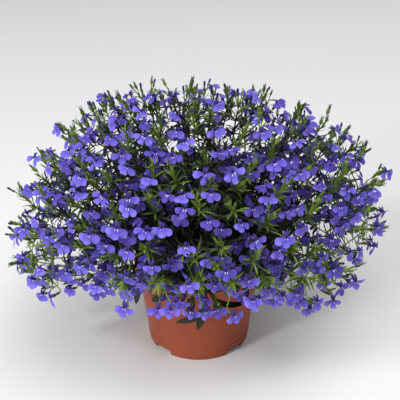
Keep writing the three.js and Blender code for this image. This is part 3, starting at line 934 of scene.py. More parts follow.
    def plan_blooms(self, head: Collar) -> None:
        """Fills the sides of a head with blooms, each tried at several angles and lengths.

        Args:
            head: the head's collar.
        """
        for side in head.sides:
            for _ in range(TRIES["bloom"]):
                if side.shoot:
                    break
                tilt = self.dice.between(BLOOM.least_tilt, BLOOM.most_tilt)
                swing = self.dice.between(-BLOOM.swing, BLOOM.swing)
                sideways = cross(head.direction, side.normal)
                aside = unit(side.normal * math.cos(swing) + sideways * math.sin(swing))
                direction = unit(head.direction * math.cos(tilt) + aside * math.sin(tilt))
                length = self.dice.between(BLOOM.shortest, BLOOM.longest)
                side.shoot = self.plan_bloom(head, side.root, direction, length)

    def plan_spike(
        self, kind: Kind, size: SpikeSize, collar: Collar, root: Vec, direction: Vec
    ) -> Spike | None:
        """A leaf or tip, or nothing where it has no room.

        Args:
            kind: which of the two it is.
            size: its range of sizes.
            collar: the collar that it grows from.
            root: where it grows from.
            direction: the way that it goes.

        Returns:
            The leaf or tip, or None.
        """
        length = self.dice.between(size.shortest, size.longest)
        end = root + direction * length
        start = clear_start(root, end)
        if not self.room.is_free(start, end, size.radius, collar.number):
            return None
        self.room.add(start, end, size.radius)
        return Spike(kind, root, direction, length, size.radius)

    def plan_leaves(self, collar: Collar, size: SpikeSize) -> None:
        """Leaves on the free sides of a collar.

        Args:
            collar: the collar.
            size: their range of sizes.
        """
        for side in collar.sides:
            for _ in range(TRIES["leaf"]):
                if side.shoot:
                    break
                forward = self.dice.between(*LEAF_FORWARD)
                direction = unit(
                    side.normal
                    + collar.direction * forward
                    + UP * LEAF_UP
                    + self.dice.wander() * LEAF_WANDER
                )
                if dot(direction, side.normal) >= STRAIGHT["leaf"]:
                    side.shoot = self.plan_spike(Kind.LEAF, size, collar, side.root, direction)

    def plan_end(self, collar: Collar, end: Exit) -> None:
        """Beyond its collar, a branch goes on as a growing tip.

        Args:
            collar: the branch's collar.
            end: the place that the tip grows from.
        """
        for _ in range(TRIES["tip"]):
            if end.shoot:
                break
            direction = unit(end.normal + UP * TIP_UP + self.dice.wander() * TIP_WANDER)
            end.shoot = self.plan_spike(Kind.TIP, TIP, collar, end.root, direction)


# ---------------------------------------------------------------- meshes

MM = 0.001
BODY = "root"
ARC_POINTS = 7
TINY = 1e-6


def grid_quads(rows: int, columns: int, closed: bool = False) -> Vec:
    """Faces of a grid of points.

    Args:
        rows: number of rows of points.
        columns: number of points in a row.
        closed: True where each row is a ring.

    Returns:
        Four corner numbers for each face.
    """
    steps = columns if closed else columns - 1
    row, column = np.meshgrid(np.arange(rows - 1), np.arange(steps), indexing="ij")
    after = (column + 1) % columns
    corners = [row * columns + column, row * columns + after]
    corners += [corner + columns for corner in reversed(corners)]
    return np.stack(corners, -1).reshape(-1, 4)


def marked(names: tuple[str, ...], shape: tuple[int, ...], **values: Vec | float) -> Vec:
    """Values for the points of some grids, 0 where none are given.

    Args:
        names: the mesh's point values.
        shape: numbers of grids, rows and columns.
        values: point values by their names, in any form that spreads over the shape.

    Returns:
        The values, as grids by points by values.
    """
    marks = np.zeros((*shape, len(names)))
    for name, value in values.items():
        marks[..., names.index(name)] = value
    return marks.reshape(shape[0], -1, len(names))


def keep_value(mesh: Mesh, name: str, values: Vec) -> None:
    """Keeps one value at each point of a mesh."""
    layer = mesh.attributes.new(name, "FLOAT", "POINT")
    layer.data.foreach_set("value", values.astype(np.float32))


@dataclass
class Stamp:
    """A small shape with point values that is repeated in many places."""

    points: Vec
    marks: Vec
    quads: Vec

    def press(self, work: "MeshWork", origin: Vec, axes: Vec, tone: float) -> None:
        """Adds a copy of the shape.

        Args:
            work: the mesh that it is added to.
            origin: its place.
            axes: the ways that its own x, y and z point, as rows, with its scale.
            tone: the shade of this copy, from 0 to 1.
        """
        marks = self.marks.copy()
        marks[:, work.values.index("tone")] = tone
        work.add((origin + self.points @ axes)[None], marks[None], self.quads)


class MeshWork:
    """Collects the points, faces and point values of one mesh, in millimetres."""

    def __init__(self, values: tuple[str, ...]) -> None:
        """Starts an empty mesh.

        Args:
            values: the names of the values that its points keep.
        """
        self.values = values
        self.points: list[Vec] = []
        self.marks: list[Vec] = []
        self.quads: list[Vec] = []
        self.triangles: list[Vec] = []
        self.size = 0

    def add(
        self, points: Vec, marks: Vec, quads: Vec | None = None, tris: Vec | None = None
    ) -> None:
        """Adds copies of one layout of faces.

        Args:
            points: places, as copies by points by 3.
            marks: values at the points, as copies by points by values, or fewer copies.
            quads: faces of four corners, as numbers within a copy.
            tris: faces of three corners.
        """
        copies, count = points.shape[:2]
        starts = self.size + count * np.arange(copies)[:, None, None]
        self.points.append(points.reshape(-1, 3))
        shape = (copies, count, len(self.values))
        self.marks.append(np.broadcast_to(marks, shape).reshape(-1, len(self.values)))
        if quads is not None and len(quads):
            self.quads.append((quads[None] + starts).reshape(-1, 4))
        if tris is not None and len(tris):
            self.triangles.append((tris[None] + starts).reshape(-1, 3))
        self.size += copies * count

    def grid(self, points: Vec, closed: bool = False, **values: Vec | float) -> None:
        """Adds one grid of points.

        Args:
            points: places, as rows by columns by 3.
            closed: True where each row is a ring.
            values: point values by their names.
        """
        rows, columns = points.shape[:2]
        marks = marked(self.values, (1, rows, columns), **values)
        self.add(points.reshape(1, -1, 3), marks, grid_quads(rows, columns, closed))

    def to_stamp(self) -> Stamp:
        """The collected mesh as a shape for repeating."""
        parts = (self.points, self.marks, self.quads)
        return Stamp(*(np.concatenate(part) for part in parts))

    def to_object(self, name: str) -> Object:
        """The collected mesh as an object in the scene, in metres.

        Args:
            name: the piece's name.

        Returns:
            The object.
        """
        points = np.concatenate(self.points) * MM
        marks = np.concatenate(self.marks)
        quads = np.concatenate(self.quads) if self.quads else np.zeros((0, 4), int)
        tris = np.concatenate(self.triangles) if self.triangles else np.zeros((0, 3), int)
        corners = np.concatenate([quads.reshape(-1), tris.reshape(-1)])
        sizes = np.repeat([4, 3], [len(quads), len(tris)])
        starts = np.cumsum(sizes) - sizes
        mesh = bpy.data.meshes.new(name)
        mesh.vertices.add(len(points))
        mesh.vertices.foreach_set("co", points.astype(np.float32).reshape(-1))
        mesh.loops.add(len(corners))
        mesh.loops.foreach_set("vertex_index", corners.astype(np.int32))
        mesh.polygons.add(len(starts))
        mesh.polygons.foreach_set("loop_start", starts.astype(np.int32))
        mesh.polygons.foreach_set("use_smooth", np.ones(len(starts), bool))
        for number, value in enumerate(self.values):
            keep_value(mesh, value, marks[:, number])
        mesh.update(calc_edges=True)
        mesh.validate()
        piece = bpy.data.objects.new(name, mesh)
        bpy.context.scene.collection.objects.link(piece)
        return piece


def norm(vectors: Vec) -> Vec:
    """Vectors scaled to length 1, along the last axis."""
    return vectors / np.maximum(np.linalg.norm(vectors, axis=-1, keepdims=True), 1e-9)


def axes_of(ahead: Vec, up: Vec, scale: float) -> Vec:
    """Rows for a stamp: its z axis points ahead, and its y axis is as near up as it can be.

    Args:
        ahead: the way that it points.
        up: the way that its top looks.
        scale: its size against the usual one.

    Returns:
        The x, y and z axes as rows.
    """
    z = unit(ahead)
    x = norm(np.cross(up, z) + TINY)
    return np.stack([x, np.cross(z, x), z]) * scale


def around(ahead: Vec, angle: float) -> Vec:
    """A direction square to the given one, at an angle round it."""
    x, y, _ = axes_of(ahead, UP, 1.0)
    return x * math.cos(angle) + y * math.sin(angle)


def arc(start: Vec, leave: Vec, arrive: Vec, end: Vec, count: int = ARC_POINTS) -> Vec:
    """Points of a cubic curve.

    Args:
        start: its first point.
        leave: the point that it sets out for.
        arrive: the point that it comes in from.
        end: its last point.
        count: number of points.

    Returns:
        The points, one a row.
    """
    t = np.linspace(0, 1, count)[:, None]
    s = 1 - t
    return start * s**3 + leave * (3 * s * s * t) + arrive * (3 * s * t * t) + end * t**3


def smooth_line(points: list[Vec], count: int) -> Vec:
    """Points evenly spread on a smooth line through the given ones.

    Args:
        points: the given points.
        count: number of points wanted.

    Returns:
        The points, one a row.
    """
    line = np.array(points)
    steps = np.concatenate([[0], np.cumsum(np.linalg.norm(np.diff(line, axis=0), axis=1))])
    slopes = np.gradient(line, steps, axis=0)
    places = np.linspace(0, steps[-1], count)
    at = np.clip(np.searchsorted(steps, places, side="right") - 1, 0, len(line) - 2)
    span = (steps[at + 1] - steps[at])[:, None]
    t = (places - steps[at])[:, None] / span
    start, end = line[at], line[at + 1]
    leave, arrive = slopes[at] * span, slopes[at + 1] * span
    return (
        start * (2 * t**3 - 3 * t**2 + 1)
        + leave * (t**3 - 2 * t**2 + t)
        + end * (3 * t**2 - 2 * t**3)
        + arrive * (t**3 - t**2)
    )


def tubes(paths: Vec, radii: Vec, sides: int) -> tuple[Vec, Vec]:
    """Round shoots along paths.

    Args:
        paths: centre lines, as copies by points by 3.
        radii: radii, as copies by points.
        sides: number of sides.

    Returns:
        The points, as copies by points by 3, and the faces.
    """
    travel = norm(np.gradient(paths, axis=1))
    guide = np.where(np.abs(travel[:, 0, 2:3]) > 0.9, np.array([1.0, 0, 0]), UP)
    rows = []
    for k in range(paths.shape[1]):
        ahead = travel[:, k]
        guide = norm(guide - ahead * np.sum(guide * ahead, -1, keepdims=True))
        aside = np.cross(ahead, guide)
        angles = (TURN * np.arange(sides) / sides)[:, None]
        ring = aside[:, None] * np.cos(angles) + guide[:, None] * np.sin(angles)
        rows.append(paths[:, k, None] + ring * radii[:, k, None, None])
    points = np.stack(rows, 1).reshape(len(paths), -1, 3)
    return points, grid_quads(paths.shape[1], sides, closed=True)


def lathe(outline: Outline, sides: int, ribs: float = 0.0) -> Vec:
    """Points of a round shape about the z axis.

    Args:
        outline: distance along the axis and radius, row by row.
        sides: number of sides.
        ribs: how deep every second side lies, as a share of the radius.

    Returns:
        The points, as rows by columns by 3.
    """
    z, radius = np.array(outline, float).T[..., None]
    turn = TURN * np.arange(sides) / sides
    radius = radius * (1 - ribs * (np.arange(sides) % 2))
    return np.stack([radius * np.cos(turn), radius * np.sin(turn), z + 0 * turn], -1)


PETAL_VALUES = ("along", "across", "tone", "dark", "white")
GREEN_VALUES = ("along", "across", "tone", "dry", "stem")


@dataclass(frozen=True)
class BladeSize:
    """How narrow leaves are made: where along them their points are, and their outline there."""

    short: float = 6
    coarse: tuple[float, ...] = (0, 0.3, 0.7, 1.0)
    fine: tuple[float, ...] = (0, 0.1, 0.26, 0.45, 0.66, 0.86, 1.0)
    outline: tuple[float, ...] = (0.22, 0.5, 0.86, 1.0, 0.86, 0.5, 0.03)
    least_bend: float = 0.02
    twist: float = 0.5
    fold: Range = (0.15, 0.5)


@dataclass(frozen=True)
class StarSize:
    """What is drawn anew for each leaf of a star: its angles and its shares of the usual size."""

    turn: float = 0.45
    forward: Range = (0.0, 1.3)
    length: Range = (0.55, 1.15)
    width: Range = (0.8, 1.1)
    bend: Range = (-0.1, 1.5)
    fresh: Range = (0.3, 1.0)
    lift: float = 0.2


BLADE, STAR = BladeSize(), StarSize()


class Greenery:
    """Collects the stems, leaves and calyces of one piece."""

    def __init__(self, seed: int) -> None:
        """Starts with nothing collected.

        Args:
            seed: where its random numbers start.
        """
        self.random = np.random.default_rng(seed)
        self.work = MeshWork(GREEN_VALUES)
        self.leaves: list[tuple] = []
        self.shoots: dict[tuple[int, int], list[tuple[Vec, Vec, float, float]]] = {}

    def leaf(self, root: Vec, direction: Vec, length: float, half_width: float, bend: float,
             dry: float = 0.0, normal: Vec | None = None, fresh: float = 0.0) -> None:
        """Adds a narrow leaf.

        Args:
            root: where it grows from.
            direction: the way it leaves.
            length: its length along the blade.
            half_width: half its greatest width.
            bend: how far it arches over, in radians.
            dry: 0 for a green leaf, 1 for a withered one.
            normal: the way its upper face looks, or None for upwards.
            fresh: least share of the light green of young leaves.
        """
        up = UP if normal is None else normal
        self.leaves.append((root, direction, up, length, half_width, bend, dry, fresh))

    def rosette(self, place: Vec, ahead: Vec, count: int, length: float, half_width: float) -> None:
        """A star of young leaves round a shoot.

        Args:
            place: its middle.
            ahead: the way that the shoot goes.
            count: number of leaves.
            length: their usual length.
            half_width: half their usual width.
        """
        r = self.random
        turn = r.uniform(0, TURN)
        for k in range(count):
            out = around(ahead, turn + TURN * k / count + r.uniform(-STAR.turn, STAR.turn))
            self.leaf(
                place, out + ahead * r.uniform(*STAR.forward), length * r.uniform(*STAR.length),
                half_width * r.uniform(*STAR.width), r.uniform(*STAR.bend),
                normal=ahead + UP * STAR.lift, fresh=r.uniform(*STAR.fresh),
            )

    def shoot(self, path: Vec, start: float, end: float, sides: int = 5, dry: float = 0.0) -> None:
        """Adds a round shoot along a path, from one radius to another.

        Args:
            path: points along its middle.
            start: its first radius.
            end: its last radius.
            sides: number of sides.
            dry: 0 for a green shoot, 1 for a withered one.
        """
        radii = np.linspace(start, end, len(path))
        tone = self.random.random()
        self.shoots.setdefault((len(path), sides), []).append((path, radii, tone, dry))

    def grow_leaves(self) -> None:
        """Turns the collected leaves into blades, the short ones with fewer points."""
        short = [leaf for leaf in self.leaves if leaf[3] < BLADE.short]
        long = [leaf for leaf in self.leaves if leaf[3] >= BLADE.short]
        for leaves, stations in ((short, BLADE.coarse), (long, BLADE.fine)):
            if leaves:
                self.grow_blades(leaves, np.array(stations))

    def grow_blades(self, leaves: list[tuple], t: Vec) -> None:
        """Turns leaves into folded, arching blades.

        Args:
            leaves: what leaf() collected.
            t: where along the blade its points are, from 0 to 1.
        """
        columns = [np.array(column, float) for column in zip(*leaves)]
        root, ahead, up, length, half, bend, dry, fresh = columns
        count = len(root)
        ahead = norm(ahead)
        across = norm(np.cross(ahead, up) + 1e-4)
        over = np.cross(across, ahead)
        # From here on: leaves, points along the blade, and x, y and z or 1.
        root, ahead, across, over = (each[:, None] for each in (root, ahead, across, over))
        bend = np.where(np.abs(bend) < BLADE.least_bend, BLADE.least_bend, bend)
        length, half, bend, dry, fresh = (
            each[:, None, None] for each in (length, half, bend, dry, fresh)
        )
        arch = bend * t[:, None]
        spine = root + ahead * (np.sin(arch) / bend * length)
        spine = spine - over * ((1 - np.cos(arch)) / bend * length)
        face = over * np.cos(arch) + ahead * np.sin(arch)
        twist = self.random.uniform(-BLADE.twist, BLADE.twist, (count, 1, 1)) * t[:, None]
        side = across * np.cos(twist) + face * np.sin(twist)
        raised = face * np.cos(twist) - across * np.sin(twist)
        width = half * np.interp(t, BLADE.fine, BLADE.outline)[:, None]
        fold = self.random.uniform(*BLADE.fold, (count, 1, 1))
        left = spine - side * width + raised * width * fold
        right = spine + side * width + raised * width * fold
        points = np.stack([left, spine, right], 2).reshape(count, -1, 3)
        tone = self.random.random((count, 1, 1))
        marks = marked(
            GREEN_VALUES, (count, len(t), 3), along=t[:, None], across=np.array([-1, 0, 1]),
            tone=tone + (1 - tone) * fresh, dry=dry,
        )
        self.work.add(points, marks, grid_quads(len(t), 3))

    def grow_shoots(self) -> None:
        """Turns the collected shoots into tubes."""
        for (_, sides), group in self.shoots.items():
            paths, radii, tone, dry = (np.array(column) for column in zip(*group))
            points, quads = tubes(paths, radii, sides)
            marks = marked(
                GREEN_VALUES, (len(group), paths.shape[1], sides),
                along=np.linspace(0, 1, paths.shape[1])[:, None],
                across=np.linspace(-1, 1, sides),
                tone=tone[:, None, None], dry=dry[:, None, None], stem=1,
            )
            self.work.add(points, marks, quads)

    def finish(self, name: str) -> Object:
        """Makes the piece out of all that was collected.

        Args:
            name: the piece's name.

        Returns:
            The piece.
        """
        self.grow_leaves()
        self.grow_shoots()
        return self.work.to_object(name)


# ---------------------------------------------------------------- blooms and buds


@dataclass(frozen=True)
class CorollaSize:
    """The five lobes and the tube of a bloom."""

    lip_angles: tuple[float, ...] = (0, 63, -63)
    lip_length: float = 9.7
    lip_half_width: float = 3.2
    ear_angles: tuple[float, ...] = (160, -160)
    ear_length: float = 5.9
    ear_half_width: float = 1.2
    tube_length: float = 7
    mouth: float = 1.35
    neck: float = 0.95
    variants: int = 14
    eye: Range = (0.65, 1.1)
    eye_place: float = 0.19
    eye_length: float = 0.14
    lip_share: Range = (0.86, 1.06)
    lip_width_share: Range = (0.86, 1.05)
    lip_droop: Range = (0.2, 2.6)
    lip_cup: Range = (-0.9, 1.3)
    lip_wave: Range = (0.15, 0.7)
    lip_lean: float = 0.06
    lip_turn: float = 6
    lip_tilt: Range = (-0.22, 0.2)
    lip_roll: float = 0.3
    throat_rise: float = 1.1
    throat_depth: float = 0.4
    ear_back: Range = (1.6, 4.6)
    tube_sides: int = 7
    column: Outline = ((-1.5, 0.4), (0.2, 0.5), (1.3, 0.55), (1.9, 0.1))
    column_rise: tuple[float, ...] = (0.5, 0.7, 0.75, 0.5)
    column_sides: int = 5
    lip_rows: tuple[float, ...] = (0.05, 0.16, 0.31, 0.47, 0.63, 0.78, 0.9, 0.97, 1.0)
    lip_columns: int = 7
    lip_outline: Outline = (
        (0, 0.34), (0.14, 0.37), (0.3, 0.53), (0.5, 0.82), (0.66, 1), (0.8, 0.98), (0.9, 0.82),
        (0.96, 0.56), (1, 0.14),
    )
    ear_outline: Outline = (
        (0, 0.55), (0.3, 0.85), (0.6, 1), (0.85, 0.7), (1, 0.1)
    )


COROLLA = CorollaSize()


def bell(value: Vec, middle: float, width: float) -> Vec:
    """1 at the middle, falling off softly on both sides."""
    return np.exp(-(((value - middle) / width) ** 2))


class Corolla:
    """The petals of a bloom: a broad lip of three lobes, two narrow ears and a tube."""

    def __init__(self, seed: int) -> None:
        """Draws how white this corolla's eye is.

        Args:
            seed: where its random numbers start.
        """
        self.size = COROLLA
        self.random = np.random.default_rng(seed)
        self.eye = self.random.uniform(*self.size.eye)

    def turned(self, flat: Vec, angle: float) -> Vec:
        """A lobe that points straight down turned by an angle in degrees about the throat.

        Args:
            flat: the lobe's points.
            angle: the angle.

        Returns:
            The turned points.
        """
        turn = math.radians(angle)
        x, y, z = flat[..., 0], flat[..., 1], flat[..., 2]
        across = x * math.cos(turn) - y * math.sin(turn)
        return np.stack([across, x * math.sin(turn) + y * math.cos(turn), z], -1)

    def lip_lobe(self, work: MeshWork, angle: float) -> None:
        """One broad rounded lobe, narrow at the throat, a little domed and bent back.

        Args:
            work: the mesh that it is added to.
            angle: its angle from straight down, in degrees.
        """
        s, r = self.size, self.random
        t = np.array(s.lip_rows)[:, None]
        u = np.linspace(-1, 1, s.lip_columns)
        half = np.interp(t, *zip(*s.lip_outline)) * s.lip_half_width
        length = s.lip_length * r.uniform(*s.lip_share)
        droop, cup, wave = (r.uniform(*each) for each in (s.lip_droop, s.lip_cup, s.lip_wave))
        phase, lean = r.uniform(0, TURN), r.uniform(-s.lip_lean, s.lip_lean)
        x = half * u * r.uniform(*s.lip_width_share) + lean * t * length
        y = -t * length * (1 - 0.03 * u * u)
        # The lobe rises out of the throat, droops towards its end and is cupped and waved.
        z = s.throat_rise * np.sin(np.clip(t * 1.6, 0, 1) * math.pi / 2) - droop * t**2
        z = z - cup * (u * u) * half / s.lip_half_width
        z = z + wave * np.sin(2.6 * u + phase) * t**2 - s.throat_depth
        z = z + r.uniform(*s.lip_tilt) * t * length
        z = z + r.uniform(-s.lip_roll, s.lip_roll) * u * half
        points = self.turned(np.stack([x, y, z], -1), angle + r.uniform(-s.lip_turn, s.lip_turn))
        # The middle lobe has two white spots, and each side lobe one on its inner side.
        spot = self.eye * bell(t, s.eye_place, s.eye_length)
        if angle == 0:
            white = spot * bell(np.abs(u), 0.7, 0.32)
        else:
            white = 0.7 * spot * bell(u * math.copysign(1, angle), -0.7, 0.3)
        work.grid(points, along=t, across=u, dark=0.5 * np.exp(-t / 0.16), white=white)

    def ear(self, work: MeshWork, angle: float) -> None:
        """One narrow pointed lobe that stands up behind the throat.

        Args:
            work: the mesh that it is added to.
            angle: its angle from straight down, in degrees.
        """
        s, r = self.size, self.random
        t = np.linspace(0.08, 1, 6)[:, None]
        u = np.array([-1, 0, 1])
        half = np.interp(t, *zip(*s.ear_outline)) * s.ear_half_width
        x = half * u + r.uniform(-0.5, 0.5) * t**2
        y = -t * s.ear_length * r.uniform(0.85, 1) + 0 * u
        z = 0.3 - r.uniform(*s.ear_back) * t**2 + 0.35 * u * u * half
        points = self.turned(np.stack([x, y, z], -1), angle)
        work.grid(points, along=t, across=u, dark=0.8)

    def tube(self, work: MeshWork) -> None:
        """The tube behind the lobes, with the dark column of its stamens in the mouth.

        Args:
            work: the mesh that it is added to.
        """
        s = self.size
        mouth = ((0, s.mouth), (-0.8, s.mouth * 0.86))
        neck = ((-3.5, s.neck), (-s.tube_length, s.neck * 0.9))
        work.grid(lathe(mouth + neck, s.tube_sides), closed=True, along=0.1, dark=0.8)
        column = lathe(s.column, s.column_sides)
        column[..., 1] += np.array(s.column_rise)[:, None]
        work.grid(column, closed=True, dark=1.0)

    def stamp(self) -> Stamp:
        """The whole corolla: x to its right, y to its top and z the way that it faces.

        Returns:
            The shape, for repeating.
        """
        work = MeshWork(PETAL_VALUES)
        for angle in self.size.lip_angles:
            self.lip_lobe(work, angle)
        for angle in self.size.ear_angles:
            self.ear(work, angle)
        self.tube(work)
        return work.to_stamp()


def spindle(
    names: tuple[str, ...], outline: Outline, sides: int, ribs: float = 0.0, **values: float
) -> Stamp:
    """A round shape along its own z axis.

    Args:
        names: the point values of the mesh that it goes into.
        outline: distance along the axis and radius, row by row.
        sides: number of sides.
        ribs: how deep every second side lies, as a share of the radius.
        values: point values that are the same everywhere.

    Returns:
        The shape, for repeating.
    """
    work = MeshWork(names)
    along, across = np.linspace(0, 1, len(outline))[:, None], np.linspace(-1, 1, sides)
    work.grid(lathe(outline, sides, ribs), closed=True, along=along, across=across, **values)
    return work.to_stamp()


BUD = spindle(
    PETAL_VALUES, ((0, 0.55), (2, 0.65), (4.6, 1.18), (6.2, 1.15), (7.2, 0.6), (7.6, 0.08)), 6,
    0.12, dark=0.86,
)
CUP = spindle(GREEN_VALUES, ((-3.2, 0.45), (-2.4, 1.0), (-0.8, 1.35), (0.3, 1.0)), 7, stem=0.5)
CAPSULE = spindle(
    GREEN_VALUES, ((-2.6, 0.4), (-2.0, 1.1), (-0.6, 1.65), (0.6, 1.5), (1.6, 0.9), (2.2, 0.1)), 7,
    stem=0.5,
)


# ---------------------------------------------------------------- sprays


class Part(Enum):
    """The three pieces that a spray is made of."""

    BLOOMS = "bloom_spray"
    STALKS = "stalk_spray"
    LEAVES = "leafy_spray"


@dataclass(frozen=True)
class DressSize:
    """Sizes of what clothes the stems."""

    stalk_radius: float = 0.5
    branch_radius: float = 0.85
    stem_radius: float = 1.3
    sepals: int = 5
    sepal_length: float = 4.2
    sepal_half_width: float = 0.42
    bract_length: float = 11
    bract_half_width: float = 1.05
    star_length: float = 13
    star_half_width: float = 1.0
    leaf_spacing: float = 2.9
    leaf_shortest: float = 9
    leaf_longest: float = 18
    leaf_half_width: float = 1.25
    twigs: int = 15
    twig_radius: float = 0.6
    capsules: int = 5
    extra_blooms: float = 2.5
    crown: float = 0.86
    bloom_gap: float = 7.5
    lowest_bloom: float = 102
    thin_place: tuple[float, float, float] = (0, -98, 200)
    thin_reach: float = 46
    capsule_stalk: Range = (9, 17)
    crowd_tries: int = 12
    crowd_stalk: Range = (14, 26)
    crowd_room: float = 8
    crowd_under: float = 9
    crowd_deepest: float = 55
    crowd_back: float = -30
    twig_length: Range = (26, 52)
    twig_reach: float = 0.94
    trailer_reach: float = 0.93


DRESS = DressSize()


@dataclass(frozen=True)
class BloomDress:
    """How a bloom's stalk curves, how it looks up near the crown, and what is drawn anew for it."""

    overlap: float = 0.4
    leave: float = 0.45
    arrive: float = 0.25
    cup: float = 3
    scale: Range = (0.86, 1.08)
    depth: Range = (0.7, 1.25)
    look_up_from: float = 150
    look_up_span: float = 70
    look_up: float = 0.9
    look_front: float = 0.35
    look_wander: float = 0.42
    sepal_spread: Range = (0.25, 0.8)
    sepal_tilt: Range = (-0.15, 0.2)
    sepal_share: Range = (0.8, 1.15)
    bract_share: Range = (0.7, 1.2)
    bract_bend: Range = (0.1, 1.1)
    bract_wander: float = 0.35


@dataclass(frozen=True)
class ClotheSize:
    """Leaves along a shoot: how they stand, and how much sparser they are near the dome."""

    turn: float = 2.4
    wander: float = 0.4
    first: Range = (0.2, 0.8)
    step: Range = (0.6, 1.4)
    out: Range = (0.7, 1.2)
    ahead: Range = (0.3, 1.0)
    width: Range = (0.7, 1.1)
    bend: Range = (-0.2, 1.2)
    dry: Range = (-3, 0.8)
    thin_from: float = 0.68
    thin_span: float = 0.3
    thinning: float = 3.6


@dataclass(frozen=True)
class PlumeSize:
    """The leaves and buds of a growing tip. Lengths are shares of the tip's own."""

    bow: float = 0.8
    radii: Range = (0.7, 0.45)
    leaves: tuple[int, int] = (7, 11)
    buds: tuple[int, int] = (2, 5)
    first_leaf: float = 0.15
    stand: Range = (0.6, 1.1)
    closing: float = 0.45
    leaf_length: Range = (0.42, 0.75)
    leaf_half_width: float = 1.1
    leaf_bend: Range = (-0.2, 0.7)
    leaf_fresh: Range = (0.4, 1.0)
    bud_place: Range = (0.35, 0.95)
    bud_aside: Range = (0.25, 0.7)
    bud_stalk: Range = (0.18, 0.62)
    bud_scale: Range = (0.6, 1.05)


@dataclass(frozen=True)
class TrailSize:
    """Long shoots: where their stem stops and how long its tip is, with blooms and without."""

    points: int = 12
    radii: Range = (0.75, 0.45)
    curve: float = 0.35
    stop_with_blooms: float = 14
    stop_alone: float = 26
    tip_with_blooms: float = 8
    tip_alone: float = 17
    leaf_spacing: float = 2.6
    bloom_step: int = 3
    bloom_stalk: float = 14
    bloom_room: float = 6
    bloom_lean: float = 0.4


@dataclass(frozen=True)
class BudSize:
    """Buds and capsules on their stalks."""

    rise: float = 0.12
    stalk_radii: Range = (0.42, 0.45)
    closed_share: float = 0.6
    closed: Range = (1.5, 0.55)
    opening: Range = (0.95, 1.0)
    cup: float = 2.6
    capsule_scale: Range = (0.65, 1.0)
    capsule_sepal: Range = (3.2, 0.4)


FRESH, CLOTHE, PLUME, TRAIL, BUDS = BloomDress(), ClotheSize(), PlumeSize(), TrailSize(), BudSize()


@dataclass(frozen=True)
class PaintedShadeSize:
    """Where the plant counts as deep, for painted shade: below the dome, and above its hanging
    skirt.
    """

    rim: float = 1.08
    fade: float = 0.3
    power: float = 1.4
    skirt: float = 146
    skirt_fade: float = 90


PAINTED_SHADE = PaintedShadeSize()


@dataclass(frozen=True)
class Trailer:
    """A long thin shoot that ends in blooms beyond the others: its end and number of blooms."""

    x: float
    y: float
    z: float
    blooms: int
    rise: float

    def end(self) -> Vec:
        """Its end as a point."""
        return np.array([self.x, self.y, self.z], float)


TRAILERS = tuple(Trailer(*numbers) for numbers in (
    (-106, 50, 230, 0, 1.8), (-95, 56, 230, 0, 1.8), (-112, 44, 219, 0, 1.8),
    (-45, 60, 230, 0, 1.8), (-36, 62, 232, 0, 1.8), (6, 55, 243, 0, 1.8), (-2, 48, 234, 0, 1.8),
    (34, 62, 233, 0, 1.8), (57, 62, 230, 0, 1.8), (65, 60, 233, 0, 1.8), (97, 50, 224, 0, 1.8),
    (105, 42, 212, 0, 1.8), (162, 8, 197, 0, 0.7), (-171, -8, 112, 0, 0.7), (136, 20, 210, 0, 1.8),
    (173, 8, 174, 1, 0.5), (158, -10, 159, 1, 0.2), (-152, 20, 183, 1, 0.3),
    (-130, 40, 203, 1, 0.5), (-89, 60, 226, 1, 1.0), (-78, 62, 225, 1, 1.0), (-26, 66, 227, 2, 1.2),
    (106, 50, 198, 1, 0.7), (-145, -45, 74, 1, -0.4), (-162, -20, 91, 1, -0.3),
    (-115, -70, 97, 1, -0.5), (-88, -84, 103, 2, -0.5), (-70, -90, 119, 2, -0.5),
    (-81, -84, 132, 1, -0.3), (-64, -84, 101, 1, -0.5), (-66, -90, 110, 1, -0.5),
    (98, -88, 88, 1, -0.5), (120, -74, 87, 1, -0.5), (137, -50, 90, 1, -0.4),
    (144, -30, 104, 1, -0.2), (86, -92, 100, 1, -0.5), (112, -75, 107, 1, -0.4),
    (-14, -104, 106, 1, -0.5), (-6, -100, 94, 1, -0.6), (5, -108, 113, 1, -0.5),
    (15, -102, 97, 1, -0.6), (33, -104, 117, 1, -0.4), (41, -98, 107, 1, -0.5),
    (-18, -112, 130, 1, -0.4), (23, -110, 129, 1, -0.4), (-110, -60, 114, 1, -0.2),
    (-97, -66, 128, 1, -0.1), (-86, -80, 116, 1, -0.4), (-74, -88, 128, 1, -0.3),
    (-61, -92, 125, 1, -0.4), (-56, -86, 110, 1, -0.5), (-102, -72, 104, 1, -0.4),
    (-76, -80, 137, 1, -0.1), (60, -98, 116, 1, -0.4), (72, -94, 122, 1, -0.3),
    (88, -86, 112, 1, -0.4), (104, -76, 118, 1, -0.3), (118, -60, 118, 1, -0.2),
    (129, -50, 104, 1, -0.3), (66, -94, 101, 1, -0.6),
))


